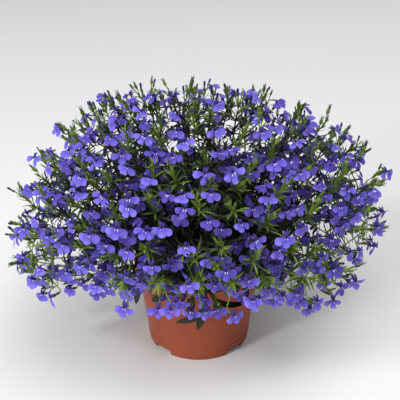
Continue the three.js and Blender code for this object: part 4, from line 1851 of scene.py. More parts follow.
class Spray:
    """One stem with all that it carries: its blooms, their stalks, and its leaves."""

    def __init__(self, number: int, stem: Stem, layout: Layout, corollas: list[Stamp]) -> None:
        """Starts with empty meshes.

        Args:
            number: its number, from 0.
            stem: its stem in the plan.
            layout: the whole plan.
            corollas: the shapes that its blooms take in turn.
        """
        self.number, self.stem, self.layout, self.corollas = number, stem, layout, corollas
        self.size = DRESS
        self.random = np.random.default_rng(SPRAY_SEED + number)
        self.petals = MeshWork(PETAL_VALUES)
        self.stalks = Greenery(STALK_SEED + number)
        self.foliage = Greenery(FOLIAGE_SEED + number)

    def any_way(self) -> Vec:
        """A direction drawn evenly from all."""
        return unit(self.random.normal(size=3))

    def calyx(self, base: Vec, facing: Vec, spread: float, scale: float = 1.0) -> None:
        """A green cup with narrow sepals that stand round a tube.

        Args:
            base: the rim of the cup.
            facing: the way that the cup opens.
            spread: how far the sepals stand off, from 0 to 1.
            scale: size against the usual one.
        """
        s = self.size
        CUP.press(self.stalks.work, base, axes_of(facing, UP, scale), self.random.random())
        turn = self.random.uniform(0, TURN)
        for k in range(s.sepals):
            out = around(facing, turn + TURN * k / s.sepals)
            tilt = spread + self.random.uniform(*FRESH.sepal_tilt)
            self.stalks.leaf(
                base + out * 0.9 * scale, facing * (1 - 0.4 * tilt) + out * (0.2 + tilt),
                s.sepal_length * scale * self.random.uniform(*FRESH.sepal_share),
                s.sepal_half_width, -0.3 - 0.4 * tilt, normal=-out,
            )

    def lifted(self, bloom: Bloom) -> Bloom:
        """The bloom as it is turned in the end: those near the crown look further up.

        Args:
            bloom: the bloom as planned.

        Returns:
            The bloom as shown.
        """
        height = bloom.centre[2] - FRESH.look_up_from
        share = min(max(height / FRESH.look_up_span, 0.0), 1.0)
        upwards = UP * share * FRESH.look_up + LIGHT * share * FRESH.look_front
        facing = unit(bloom.facing + upwards + self.any_way() * FRESH.look_wander)
        right = unit(bloom.right - facing * dot(bloom.right, facing))
        return Bloom(bloom.root, bloom.direction, bloom.centre, facing, right, cross(facing, right))

    def bloom(self, bloom: Bloom) -> None:
        """A bloom on its curved stalk, with a bract at the stalk's foot.

        Args:
            bloom: the bloom as planned.
        """
        s, r = self.size, self.random
        bloom = self.lifted(bloom)
        cup = bloom.centre - bloom.facing * (COROLLA.tube_length - FRESH.overlap)
        reach = length_of(cup - bloom.root)
        path = arc(
            bloom.root, bloom.root + bloom.direction * reach * FRESH.leave,
            cup - bloom.facing * (FRESH.cup + reach * FRESH.arrive), cup - bloom.facing * FRESH.cup,
        )
        self.stalks.shoot(path, s.stalk_radius * 1.1, s.stalk_radius)
        self.calyx(cup, bloom.facing, r.uniform(*FRESH.sepal_spread))
        axes = np.stack([bloom.right, bloom.top, bloom.facing]) * r.uniform(*FRESH.scale)
        axes[2] *= r.uniform(*FRESH.depth)
        stamp = self.corollas[r.integers(len(self.corollas))]
        stamp.press(self.petals, bloom.centre, axes, r.random())
        side = unit(bloom.direction + UP * 0.3)
        way = side + self.any_way() * FRESH.bract_wander
        length = s.bract_length * r.uniform(*FRESH.bract_share)
        self.stalks.leaf(
            bloom.root, way, length, s.bract_half_width, r.uniform(*FRESH.bract_bend)
        )

    def bud(self, root: Vec, ahead: Vec, stalk: float, scale: float) -> None:
        """A closed bud on a short stalk.

        Args:
            root: where it grows from.
            ahead: the way that it points.
            stalk: the length of its stalk.
            scale: its size against the usual one.
        """
        ahead = unit(ahead)
        base = root + ahead * stalk + UP * stalk * BUDS.rise
        path = arc(root, root + ahead * stalk * 0.4, base - ahead * stalk * 0.3, base)
        self.stalks.shoot(path, *BUDS.stalk_radii)
        closed = self.random.random() < BUDS.closed_share
        cup, inner = BUDS.closed if closed else BUDS.opening
        tip = base + ahead * BUDS.cup * cup * scale
        self.calyx(tip, ahead, self.random.uniform(-0.2, 0.0), scale * cup)
        BUD.press(self.petals, tip - ahead, axes_of(ahead, UP, scale * inner), self.random.random())

    def capsule(self, root: Vec, ahead: Vec, stalk: float) -> None:
        """A spent bloom: its swollen cup with withered sepals.

        Args:
            root: where it grows from.
            ahead: the way that it points.
            stalk: the length of its stalk.
        """
        ahead = unit(ahead)
        base = root + ahead * stalk
        bow = self.any_way() * stalk * BUDS.rise
        path = arc(root, root + ahead * stalk * 0.4 + bow, base - ahead * stalk * 0.3, base)
        dry = self.random.uniform(0.25, 1.0)
        self.stalks.shoot(path, *BUDS.stalk_radii)
        marks = CAPSULE.marks.copy()
        marks[:, GREEN_VALUES.index("dry")] = dry
        scale = self.random.uniform(*BUDS.capsule_scale)
        Stamp(CAPSULE.points, marks, CAPSULE.quads).press(
            self.stalks.work, base + ahead * 2, axes_of(ahead, UP, scale), self.random.random()
        )
        for k in range(self.size.sepals):
            out = around(ahead, TURN * k / self.size.sepals)
            place, way = base + ahead * BUDS.cup + out, ahead + out * 0.7
            self.stalks.leaf(place, way, *BUDS.capsule_sepal, -0.5, dry, -out)

    def tip(self, spike: Spike, green: Greenery) -> None:
        """A growing tip: small upright leaves and a cluster of buds.

        Args:
            spike: its place and size in the plan.
            green: what collects the leaves and shoots.
        """
        r, ahead = self.random, spike.direction
        end = spike.root + ahead * spike.length
        bow = self.any_way() * PLUME.bow
        path = arc(
            spike.root, spike.root + ahead * spike.length * 0.3 + bow,
            spike.root + ahead * spike.length * 0.6 + bow, end,
        )
        green.shoot(path, *PLUME.radii)
        count = int(r.integers(*PLUME.leaves))
        for k in range(count):
            t = PLUME.first_leaf + (1 - PLUME.first_leaf) * k / (count - 1)
            out = around(ahead, CLOTHE.turn * k + r.uniform(-0.3, 0.3))
            place = path[0] + (end - path[0]) * t
            stand = r.uniform(*PLUME.stand) - PLUME.closing * t
            length = spike.length * r.uniform(*PLUME.leaf_length) * (1.1 - PLUME.closing * t)
            half_width, bend = PLUME.leaf_half_width - 0.25 * t, r.uniform(*PLUME.leaf_bend)
            green.leaf(
                place, ahead + out * stand, length, half_width, bend,
                normal=ahead - out * 0.3, fresh=r.uniform(*PLUME.leaf_fresh),
            )
        for _ in range(int(r.integers(*PLUME.buds))):
            out = around(ahead, r.uniform(0, TURN))
            place = path[0] + (end - path[0]) * r.uniform(*PLUME.bud_place)
            way = ahead + out * r.uniform(*PLUME.bud_aside) + UP * 0.3
            stalk = spike.length * r.uniform(*PLUME.bud_stalk)
            self.bud(place, way, stalk, r.uniform(*PLUME.bud_scale))

    def clothe(self, green: Greenery, line: Vec, spacing: float, width: float) -> None:
        """Narrow leaves all along a shoot, each a golden angle further round.

        Args:
            green: what collects the leaves and shoots.
            line: points along the shoot.
            spacing: the usual distance between leaves.
            width: half the usual width of a leaf.
        """
        s, r = self.size, self.random
        steps = np.linalg.norm(np.diff(line, axis=0), axis=1)
        total = float(steps.sum())
        travelled = np.concatenate([[0], np.cumsum(steps)])
        angle = r.uniform(0, TURN)
        place = r.uniform(*CLOTHE.first) * spacing
        while place < total:
            k = min(int(np.searchsorted(travelled, place, side="right")) - 1, len(steps) - 1)
            share = (place - travelled[k]) / max(steps[k], TINY)
            point = line[k] + (line[k + 1] - line[k]) * share
            ahead = unit(line[k + 1] - line[k])
            out = around(ahead, angle)
            above = self.layout.onto_dome(point)
            near = length_of(point - MIDDLE) / max(length_of(above - MIDDLE), 1)
            way = out * r.uniform(*CLOTHE.out) + ahead * r.uniform(*CLOTHE.ahead) + UP * 0.15
            length = r.uniform(s.leaf_shortest, s.leaf_longest)
            half_width, bend = width * r.uniform(*CLOTHE.width), r.uniform(*CLOTHE.bend)
            dry = max(0.0, r.uniform(*CLOTHE.dry))
            green.leaf(point, way, length, half_width, bend, dry, ahead * 0.8 + UP * 0.5)
            angle += CLOTHE.turn + r.uniform(-CLOTHE.wander, CLOTHE.wander)
            sparse = min(max(near - CLOTHE.thin_from, 0) / CLOTHE.thin_span, 1)
            place += spacing * r.uniform(*CLOTHE.step) * (1 + CLOTHE.thinning * sparse)

    def branch(self, branch: Branch, green: Greenery) -> None:
        """A branch up to its collar, and what the collar and its end carry.

        Args:
            branch: the branch.
            green: what collects the leaves and shoots.
        """
        s = self.size
        collar = branch.collar
        if branch.elbow is not None:
            points = [
                branch.root, (branch.root + branch.elbow) / 2, branch.elbow,
                (branch.elbow + collar.centre) / 2, collar.centre, branch.end.root,
            ]
        else:
            bend = collar.centre - collar.direction * length_of(collar.centre - branch.root) * 0.3
            middle = (branch.root + collar.centre) / 2
            points = [branch.root, middle * 0.75 + bend * 0.25, collar.centre, branch.end.root]
        line = smooth_line(points, 12)
        green.shoot(line, s.branch_radius, s.branch_radius * 0.8, 6)
        self.clothe(green, line, s.leaf_spacing, s.leaf_half_width)
        green.rosette(
            collar.centre + collar.direction * 4, collar.direction,
            int(self.random.integers(5, 8)), s.star_length, s.star_half_width,
        )
        for side in collar.sides:
            self.grow(side.shoot, green)
        self.grow(branch.end.shoot, green)

    def grow(self, shoot: "Branch | Bloom | Spike | None", green: Greenery) -> None:
        """Whatever grows from a place on a collar.

        Args:
            shoot: what grows, or None.
            green: what collects the leaves and shoots.
        """
        if isinstance(shoot, Branch):
            self.branch(shoot, green)
        elif isinstance(shoot, Bloom):
            self.bloom(shoot)
        elif isinstance(shoot, Spike) and shoot.kind is Kind.TIP:
            self.tip(shoot, green)
        elif isinstance(shoot, Spike):
            length, half_width = shoot.length * 1.02, shoot.radius * 0.85
            green.leaf(
                shoot.root, shoot.direction, length, half_width, self.random.uniform(0.0, 0.5)
            )

    def spend(self) -> None:
        """Spent blooms on thin stalks, along the flowering branches."""
        branches = self.stem.flowering()
        for _ in range(self.size.capsules):
            branch = branches[self.random.integers(len(branches))]
            share = self.random.uniform(0.35, 0.95)
            place = branch.root + (branch.collar.centre - branch.root) * share
            ahead = unit(self.any_way() + self.layout.outward_at(place) * 1.1)
            self.capsule(place, ahead, self.random.uniform(*self.size.capsule_stalk))

    def trail(self, collar: Collar, trailer: Trailer, taken: list[Vec]) -> None:
        """A long shoot from a collar to an end beyond the dome, with blooms near its end.

        Args:
            collar: where it grows from.
            trailer: where it ends and what it carries.
            taken: the places of all blooms so far, which it adds to.
        """
        s, r, end = self.size, self.random, trailer.end()
        level = unit(end * np.array([1, 1, 0]))
        travel = unit(level + UP * trailer.rise)
        stop = TRAIL.stop_with_blooms if trailer.blooms else TRAIL.stop_alone
        last = end - travel * stop
        reach = length_of(last - collar.centre) * TRAIL.curve
        path = arc(
            collar.centre, collar.centre + collar.direction * reach, last - travel * reach, last,
            TRAIL.points,
        )
        self.stalks.shoot(path, *TRAIL.radii)
        self.clothe(self.stalks, path, s.leaf_spacing * TRAIL.leaf_spacing, s.star_half_width)
        length = TRAIL.tip_with_blooms if trailer.blooms else TRAIL.tip_alone
        self.tip(Spike(Kind.TIP, last, unit(travel + UP * 0.4), length, TIP.radius), self.stalks)
        for k in range(trailer.blooms):
            root = path[-1 - TRAIL.bloom_step * k]
            aside = unit(np.cross(travel, UP) * (-1) ** k + self.any_way() * 0.4)
            hanging = unit(aside + travel * 0.5 - LIGHT[2] * UP) * TRAIL.bloom_stalk
            centre = end if k == 0 else root + hanging
            if not clears_pot(centre, TRAIL.bloom_room):
                continue
            facing = unit(level * 0.5 + LIGHT * 0.6 + self.any_way() * 0.4)
            ahead, lean = unit(centre - root), r.uniform(-TRAIL.bloom_lean, TRAIL.bloom_lean)
            self.bloom(turned_bloom(root, ahead, centre, facing, lean))
            taken.append(centre)

    def takes_bloom(self, centre: Vec, outward: Vec, taken: list[Vec]) -> bool:
        """Whether one more bloom finds room at a place under the dome.

        Args:
            centre: the bloom's place.
            outward: the way out of the dome there.
            taken: the places of all blooms so far.

        Returns:
            Whether it does.
        """
        s, above = self.size, centre - self.layout.onto_dome(centre)
        crowded = np.linalg.norm(np.array(taken) - centre, axis=1).min() < s.bloom_gap
        hanging = centre[2] < s.lowest_bloom or not clears_pot(centre, s.crowd_room)
        at_depth = dot(above, outward) <= -s.crowd_under and length_of(above) <= s.crowd_deepest
        at_back = outward[2] > s.crown and centre[1] > s.crowd_back
        in_gap = length_of(centre - np.array(s.thin_place)) < s.thin_reach
        return at_depth and not (crowded or hanging or at_back or in_gap)

    def crowd(self, taken: list[Vec]) -> None:
        """More blooms under and between the others, turned every way.

        Args:
            taken: the places of all blooms so far, which it adds to.
        """
        s, r = self.size, self.random
        branches = self.stem.flowering()
        for _ in range(round(s.extra_blooms * len(branches))):
            branch = branches[r.integers(len(branches))]
            for _ in range(s.crowd_tries):
                start = branch.root + (branch.collar.centre - branch.root) * r.uniform(0.45, 1.0)
                outward = self.layout.outward_at(start)
                ahead = unit(self.any_way() + outward * 0.7)
                centre = start + ahead * r.uniform(*s.crowd_stalk)
                if not self.takes_bloom(centre, outward, taken):
                    continue
                facing = unit(ahead + outward * 0.5 + self.any_way() * 0.8 + LIGHT * 0.25)
                self.bloom(turned_bloom(start, ahead, centre, facing, r.uniform(-0.5, 0.5)))
                taken.append(centre)
                break

    def twig_out(self, line: Vec) -> None:
        """Thin leafy twigs that fill the dome between the branches.

        Args:
            line: points along the stem.
        """
        s, r = self.size, self.random
        for _ in range(s.twigs):
            k = int(r.integers(len(line) // 3, len(line) - 1))
            root = line[k]
            ahead = unit(line[k + 1] - line[k])
            aim = unit(self.any_way() + self.stem.outward * 0.9 + UP * 0.25)
            length = r.uniform(*s.twig_length)
            end = root + aim * length
            reach = self.layout.onto_dome(end)
            if length_of(end - MIDDLE) > length_of(reach - MIDDLE) * s.twig_reach:
                end = root + (end - root) * 0.6
            if not clears_pot(end, 2.0):
                continue
            bow = root + (end - root) * 0.7 + UP * 3
            path = arc(root, root + ahead * length * 0.3, bow, end, 10)
            self.foliage.shoot(path, s.twig_radius, 0.4)
            self.clothe(self.foliage, path, s.leaf_spacing * 0.9, s.leaf_half_width * 0.95)
            ahead = unit(path[-1] - path[-3])
            self.foliage.rosette(end, ahead, 6, s.star_length * 0.9, s.star_half_width)

    def build(
        self, taken: list[Vec], trailers: list[tuple[Collar, Trailer]]
    ) -> dict[Part, Object]:
        """Builds the spray's pieces in the scene.

        Args:
            taken: the places of all blooms so far.
            trailers: long shoots, each with the collar that it grows from.

        Returns:
            The three pieces by what they are.
        """
        s, stem = self.size, self.stem
        t = np.linspace(0, 1, 14)
        line = np.array([bezier(stem.curve, value)[0] for value in t])
        line = np.concatenate([[stem.foot], line])
        radii = (s.stem_radius, s.branch_radius * 1.15)
        self.foliage.shoot(line, *radii, 7)
        self.clothe(self.foliage, line[3:], s.leaf_spacing, s.leaf_half_width * 1.25)
        for collar in stem.collars:
            for side in collar.sides:
                self.grow(side.shoot, self.foliage)
        self.twig_out(line)
        fork = np.linspace(stem.fork_point, stem.middle_branch.root, 4)
        self.stalks.shoot(fork, radii[1], radii[1] * 0.9, 7)
        self.grow(stem.middle_branch.shoot, self.stalks)
        for side in stem.fork.sides:
            self.grow(side.shoot, self.stalks)
        self.spend()
        for collar, trailer in trailers:
            self.trail(collar, trailer, taken)
        self.crowd(taken)
        name = f"_{self.number + 1:02d}"
        pieces = {
            Part.BLOOMS: self.petals.to_object(Part.BLOOMS.value + name),
            Part.STALKS: self.stalks.finish(Part.STALKS.value + name),
            Part.LEAVES: self.foliage.finish(Part.LEAVES.value + name),
        }
        # Each point keeps how deep it lies in the plant, for its painted shade.
        for piece in pieces.values():
            mark_painted_shade(piece)
        return pieces

    def settle(self, pieces: dict[Part, Object], finishes: "Finishes") -> None:
        """Gives each piece its finish, its body and the node that it stands for.

        Args:
            pieces: the spray's pieces.
            finishes: all materials.
        """
        raceme, stem = f"raceme_{self.number + 1:02d}", f"leafy_stem_{self.number + 1:02d}"
        settle(pieces[Part.BLOOMS], "bloom", finishes.petal, raceme)
        settle(pieces[Part.STALKS], "leaf", finishes.green, raceme)
        settle(pieces[Part.LEAVES], "leaf", finishes.green, stem)


def mark_painted_shade(piece: Object) -> None:
    """Keeps at each point how deep it lies in the plant, for the painted shade of its inside.

    Args:
        piece: the piece whose points get the value, from 0 at the dome to 1 deep inside, where the
            painted shade is darkest.
    """
    mesh = piece.data
    points = np.zeros(3 * len(mesh.vertices), np.float32)
    mesh.vertices.foreach_get("co", points)
    x, y, z = (points.reshape(-1, 3) / MM).T
    azimuth, reach = np.arctan2(y, x), 1.0
    for bulge in DOME.bulges:
        nearness = np.maximum(0.0, np.cos(azimuth - bulge.azimuth * TURN / 360)) ** bulge.narrow
        reach = reach + bulge.share * nearness
    level = np.maximum(z - DOME.middle, 0) / DOME.rise
    away = np.sqrt((x**2 + y**2) / (DOME.reach * reach) ** 2 + level**2)
    past_pot = np.hypot(x, y) > POT.radius_at(POT.height)
    hanging = np.maximum(PAINTED_SHADE.skirt - z, 0) / PAINTED_SHADE.skirt_fade * past_pot
    deep = np.clip((PAINTED_SHADE.rim - away - hanging) / PAINTED_SHADE.fade, 0, 1) ** PAINTED_SHADE.power
    keep_value(mesh, "deep", deep)


def settle(piece: Object, slot: str, finish: Material, *nodes: str) -> None:
    """Dresses a piece and ties it to the part's body.

    Args:
        piece: the piece.
        slot: the name of a material slot, not used.
        finish: its material.
        nodes: the nodes that it stands for.
    """
    piece.data.materials.append(finish)
    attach(piece, BODY)
    if nodes:
        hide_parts(*nodes)
    logging.info("%s: %d faces", piece.name, len(piece.data.polygons))


# ---------------------------------------------------------------- pot, soil and broad leaves


def ripple(x: Vec, y: Vec, seed: int, waves: int, longest: float, shortest: float) -> Vec:
    """Uneven heights made of crossing waves, from about -1 to 1.

    Args:
        x: places, first axis.
        y: places, second axis.
        seed: where its random numbers start.
        waves: number of waves.
        longest: length of the longest wave.
        shortest: length of the shortest.

    Returns:
        A height at each place.
    """
    random = np.random.default_rng(seed)
    height = np.zeros_like(x)
    for _ in range(waves):
        length = longest * (shortest / longest) ** random.random()
        angle, phase = random.uniform(0, TURN, 2)
        share = (length / longest) ** 0.7
        place = (x * math.cos(angle) + y * math.sin(angle)) * TURN / length
        height += share * np.sin(place + phase)
    return height / math.sqrt(waves)


@dataclass(frozen=True)
class PotDetail:
    """How finely the pot is made, and its rounded edges as steps outwards and upwards."""

    columns: int = 320
    notch_round: float = 1.3
    drain_sides: int = 28
    step: Outline = ((-0.12, 0.1), (-0.36, 0.3), (-0.5, 0.62))
    lip_foot: Outline = (
        (-0.4, -0.25), (0.1, 0.05), (0.9, 0.25), (1.5, 0.5), (1.8, 1.1)
    )
    lip_top: Outline = (
        (1.8, -0.8), (1.55, -0.25), (1.0, 0), (-1.25, 0), (-1.6, -0.35)
    )
    sharp: float = math.radians(50)


class Pot:
    """The tapered plastic pot: wall, lip, foot band with four notches, and a floor with drains."""

    def __init__(self) -> None:
        """Works out the angles of its columns and the places of its drains."""
        self.size, self.detail = POT, PotDetail()
        self.angles = TURN * np.arange(self.detail.columns) / self.detail.columns
        self.drain_angles = TURN * np.arange(self.detail.drain_sides) / self.detail.drain_sides
        turns = [TURN * k / POT.drains for k in range(POT.drains)]
        self.drain_places = [
            (POT.drain_ring * math.cos(turn), POT.drain_ring * math.sin(turn)) for turn in turns
        ]
        self.work = MeshWork(("wear",))

    def foot_heights(self) -> Vec:
        """Height of the wall's lower edge at each column: raised within the notches.

        Returns:
            The heights, one a column.
        """
        s = self.size
        heights = np.zeros(self.detail.columns)
        for k in range(s.notches):
            middle = TURN * (k + 0.5) / s.notches
            away = np.abs((self.angles - middle + math.pi) % TURN - math.pi)
            aside = np.sin(np.minimum(away, math.pi / 2)) * s.foot_radius
            inside = np.clip((s.notch_width / 2 - aside) / self.detail.notch_round, 0, 1)
            heights = np.maximum(heights, s.notch_height * np.sqrt(1 - (1 - inside) ** 2))
        return heights

    def wall(self) -> None:
        """The wall as one turned sheet, from inside the foot round the edge and over the lip."""
        s, d, foot = self.size, self.detail, self.foot_heights()
        lip_base, floor_top = s.height - s.lip_height, s.floor + s.floor_thickness
        inner = [foot + (s.floor - foot) * share for share in (1.0, 0.6, 0.25, 0.04)]
        band = [foot + (s.foot_band - foot) * share for share in (0.03, 0.2, 0.45, 0.7, 0.97)]
        plain = np.linspace(s.foot_band + 2, lip_base - 0.7, 14)
        rows = [(s.radius_at(z) - s.wall, z) for z in inner]
        rows += [(s.radius_at(foot) - s.wall + 0.25, foot), (s.radius_at(foot) - 0.25, foot)]
        rows += [(s.radius_at(z), z) for z in band]
        rows += [(s.radius_at(s.foot_band + up) + out, s.foot_band + up) for out, up in d.step]
        rows += [(s.radius_at(z) - s.foot_step, z) for z in plain]
        rows += [(s.radius_at(lip_base) + out, lip_base + up) for out, up in d.lip_foot]
        rows += [
            (s.radius_at(z) + s.lip_out, z)
            for z in (lip_base + s.lip_height * share for share in (0.35, 0.7))
        ]
        rows += [(s.radius_at(s.height) + out, s.height + up) for out, up in d.lip_top]
        rows += [(s.radius_at(z) - s.wall, z) for z in np.linspace(s.height - 3, floor_top, 10)]
        x, y, flat = np.cos(self.angles), np.sin(self.angles), np.ones_like(foot)
        points = np.stack([np.stack([r * x, r * y, z * flat], -1) for r, z in rows])
        edge = np.zeros(points.shape[:2])
        edge[4:7] = 1
        edge[-16:-11] = 1
        self.work.grid(points, closed=True, wear=edge)

    def floor(self, height: float, upper: bool) -> None:
        """One face of the floor, with the drains' openings.

        Args:
            height: its height.
            upper: True for the face that looks up.
        """
        s = self.size
        net = bmesh.new()
        loops = [(0.0, 0.0, s.radius_at(height) - s.wall, self.angles)]
        loops += [(x, y, s.drain_radius, self.drain_angles) for x, y in self.drain_places]
        edges = []
        for x, y, radius, angles in loops:
            corners = [
                net.verts.new((x + radius * math.cos(a), y + radius * math.sin(a), height))
                for a in angles
            ]
            edges += [net.edges.new((a, b)) for a, b in zip(corners, corners[1:] + corners[:1])]
        bmesh.ops.triangle_fill(net, use_beauty=True, use_dissolve=False, edges=edges)
        net.verts.index_update()
        points = np.array([corner.co for corner in net.verts])
        tris = np.array([[corner.index for corner in face.verts] for face in net.faces])
        first, second, third = points[tris.T]
        wrong = (np.cross(second - first, third - first)[:, 2] < 0) == upper
        tris[wrong] = tris[wrong][:, ::-1]
        net.free()
        self.work.add(points[None], np.zeros((1, 1, 1)), tris=tris)

    def drains(self) -> None:
        """The walls of the drains through the floor."""
        s = self.size
        upper, lower = (s.floor + s.floor_thickness, s.drain_radius), (s.floor, s.drain_radius)
        wall = lathe((upper, lower), self.detail.drain_sides)
        for x, y in self.drain_places:
            self.work.grid(wall + np.array([x, y, 0]), closed=True, wear=1)

    def build(self) -> Object:
        """The pot as one closed mesh.

        Returns:
            The piece.
        """
        s = self.size
        self.wall()
        self.floor(s.floor, upper=False)
        self.floor(s.floor + s.floor_thickness, upper=True)
        self.drains()
        pot = self.work.to_object("moulded_pot")
        net = bmesh.new()
        net.from_mesh(pot.data)
        bmesh.ops.remove_doubles(net, verts=net.verts, dist=TINY)
        bmesh.ops.recalc_face_normals(net, faces=net.faces)
        net.to_mesh(pot.data)
        net.free()
        pot.data.set_sharp_from_angle(angle=self.detail.sharp)
        return pot


@dataclass(frozen=True)
class SoilDetail:
    """The soil's surface, with ripples by share, seed, number and lengths, crumbs and fibres."""

    rings: int = 34
    columns: int = 120
    depth: float = 14
    crumbs: int = 900
    perlite: int = 34
    fibres: int = 160
    lump: Outline = (
        (-0.95, 0.12), (-0.6, 0.75), (0.05, 1.0), (0.65, 0.72), (0.95, 0.12)
    )
    lump_sides: int = 6
    sunk: float = 1.6
    edge_rise: float = 1.2
    ripples: tuple[tuple[float, int, int, float, float], ...] = (
        (0.7, 5, 24, 38, 7), (0.35, 6, 30, 6, 2)
    )
    fibre_length: Range = (2, 7)
    fibre_radii: tuple[float, ...] = (0.06, 0.13, 0.15, 0.12, 0.05)


class Soil:
    """The peat in the pot: an uneven surface with crumbs, a few white grains and fibres."""

    def __init__(self) -> None:
        """Starts an empty mesh as wide as the pot's inside."""
        self.detail = SoilDetail()
        self.radius = POT.radius_at(SOIL.top) - POT.wall - GAP
        self.random = np.random.default_rng(SOIL_SEED)
        self.work = MeshWork(("grain", "shade"))

    def height(self, x: Vec, y: Vec) -> Vec:
        """Height of the surface at a place.

        Args:
            x: places, first axis.
            y: places, second axis.

        Returns:
            The height at each place.
        """
        d, away = self.detail, np.hypot(x, y) / self.radius
        height = SOIL.top - d.sunk + d.edge_rise * away**4
        for share, *wave in d.ripples:
            height = height + share * ripple(x, y, *wave)
        return height

    def surface(self) -> None:
        """The surface with its edge and underside."""
        d = self.detail
        shares = np.concatenate([[0.001], np.linspace(0.03, 1, d.rings)])[:, None]
        angles = (TURN * np.arange(d.columns) / d.columns)[None]
        x = self.radius * shares * np.cos(angles)
        y = self.radius * shares * np.sin(angles)
        top = np.stack([x, y, self.height(x, y)], -1)
        low = top[-1].copy()
        low[:, 2] = SOIL.top - d.depth
        low[:, :2] *= 0.985
        middle = low * np.array([0.001, 0.001, 1])
        points = np.concatenate([top, low[None], middle[None]])
        marks = marked(self.work.values, (1, *points.shape[:2]), shade=0.5)
        quads = grid_quads(len(points), d.columns, closed=True)[:, ::-1]
        self.work.add(points.reshape(1, -1, 3), marks, quads)

    def strewn(self, count: int, reach: float) -> tuple[Vec, Vec]:
        """Places spread evenly over the surface.

        Args:
            count: number of places.
            reach: how far out they go, as a share of the soil's radius.

        Returns:
            Their x and their y.
        """
        away = self.radius * reach * np.sqrt(self.random.random(count))
        angle = self.random.uniform(0, TURN, count)
        return away * np.cos(angle), away * np.sin(angle)

    def crumbs(self, count: int, smallest: float, largest: float, grain: float) -> None:
        """Irregular lumps strewn over the surface.

        Args:
            count: number of lumps.
            smallest: least size.
            largest: greatest size.
            grain: 0 for peat, 1 for white grains.
        """
        d, r = self.detail, self.random
        lump = lathe(d.lump, d.lump_sides).reshape(-1, 3)
        x, y = self.strewn(count, 0.97)
        size = r.uniform(smallest, largest, (count, 1, 1)) * r.uniform(0.6, 1.3, (count, 1, 3))
        points = lump * size * r.uniform(0.75, 1.25, (count, len(lump), 1))
        turns = np.linalg.qr(r.normal(size=(count, 3, 3)))[0]
        points = np.einsum("cpi,cij->cpj", points, turns)
        z = self.height(x, y) + 0.3 * size[:, 0, 0]
        points += np.stack([x, y, z], -1)[:, None]
        shape = (count, len(d.lump), d.lump_sides)
        marks = marked(self.work.values, shape, grain=grain, shade=r.random((count, 1, 1)))
        self.work.add(points, marks, grid_quads(*shape[1:], closed=True))

    def fibres(self) -> None:
        """Short bits of peat fibre that lie on the surface."""
        d, r, count = self.detail, self.random, self.detail.fibres
        x, y = (value[:, None] for value in self.strewn(count, 0.85))
        way = r.uniform(0, TURN, (count, 1))
        t = np.linspace(-0.5, 0.5, 5)
        length = r.uniform(*d.fibre_length, (count, 1))
        x, y = x + np.cos(way) * t * length, y + np.sin(way) * t * length
        z = self.height(x, y) + 0.5 + r.uniform(0, 0.5, (count, 1))
        radii = np.tile(d.fibre_radii, (count, 1))
        points, quads = tubes(np.stack([x, y, z], -1), radii, 3)
        marks = marked(self.work.values, (*points.shape[:2], 1), grain=0.25, shade=1)
        self.work.add(points, marks, quads)

    def build(self) -> Object:
        """The soil as one piece.

        Returns:
            The piece.
        """
        d = self.detail
        self.surface()
        self.crumbs(d.crumbs, 0.5, 1.5, 0.0)
        self.crumbs(d.perlite, 0.6, 1.2, 1.0)
        self.fibres()
        return self.work.to_object("crumbly_soil")


@dataclass(frozen=True)
class Drape:
    """How a broad leaf lies past the rim: its leaf in the plan, half its width and its points."""

    leaf: int
    half_width: float
    points: tuple[tuple[float, float, float], ...]


DRAPES = (
    Drape(0, 3.6, ((-19, -64, 89), (-32, -63, 83), (-43, -59, 76))),
    Drape(1, 4.0, ((4, -67, 87), (4, -72, 74), (-1, -72.5, 53))),
    Drape(1, 3.5, ((5, -66, 87), (3, -72, 73), (-21, -73, 61))),
    Drape(2, 3.4, ((12, -66, 86), (22, -71, 81), (46, -66, 79))),
    Drape(3, 4.2, ((-46, -47, 88), (-55, -48, 78), (-58, -50, 66))),
    Drape(4, 3.8, ((44, -47, 89), (56, -49, 84), (65, -47, 77))),
    Drape(1, 2.2, ((7, -67, 87), (8, -71, 79), (9, -72, 69))),
)


@dataclass(frozen=True)
class BroadSize:
    """The sheet of a broad leaf: half its width at the knots, its teeth, bowl, waves and rib."""

    points: int = 46
    columns: int = 9
    halves: tuple[float, ...] = (0.2, 0.2, 0.24, 0.36, 0.8, 1.0, 0.66, 0.02)
    tail: Range = (0.55, 0.22)
    tooth: float = 0.07
    teeth: float = 30
    bowl: Range = (0.3, 0.16)
    wave: float = 0.1
    waves: float = 14
    rib: Range = (0.75, 0.62)
    rib_sides: int = 6
    # painted shade of the blade, less towards its edges, and of the rib
    deep: Range = (0.84, 0.5)
    rib_shade: float = 0.45


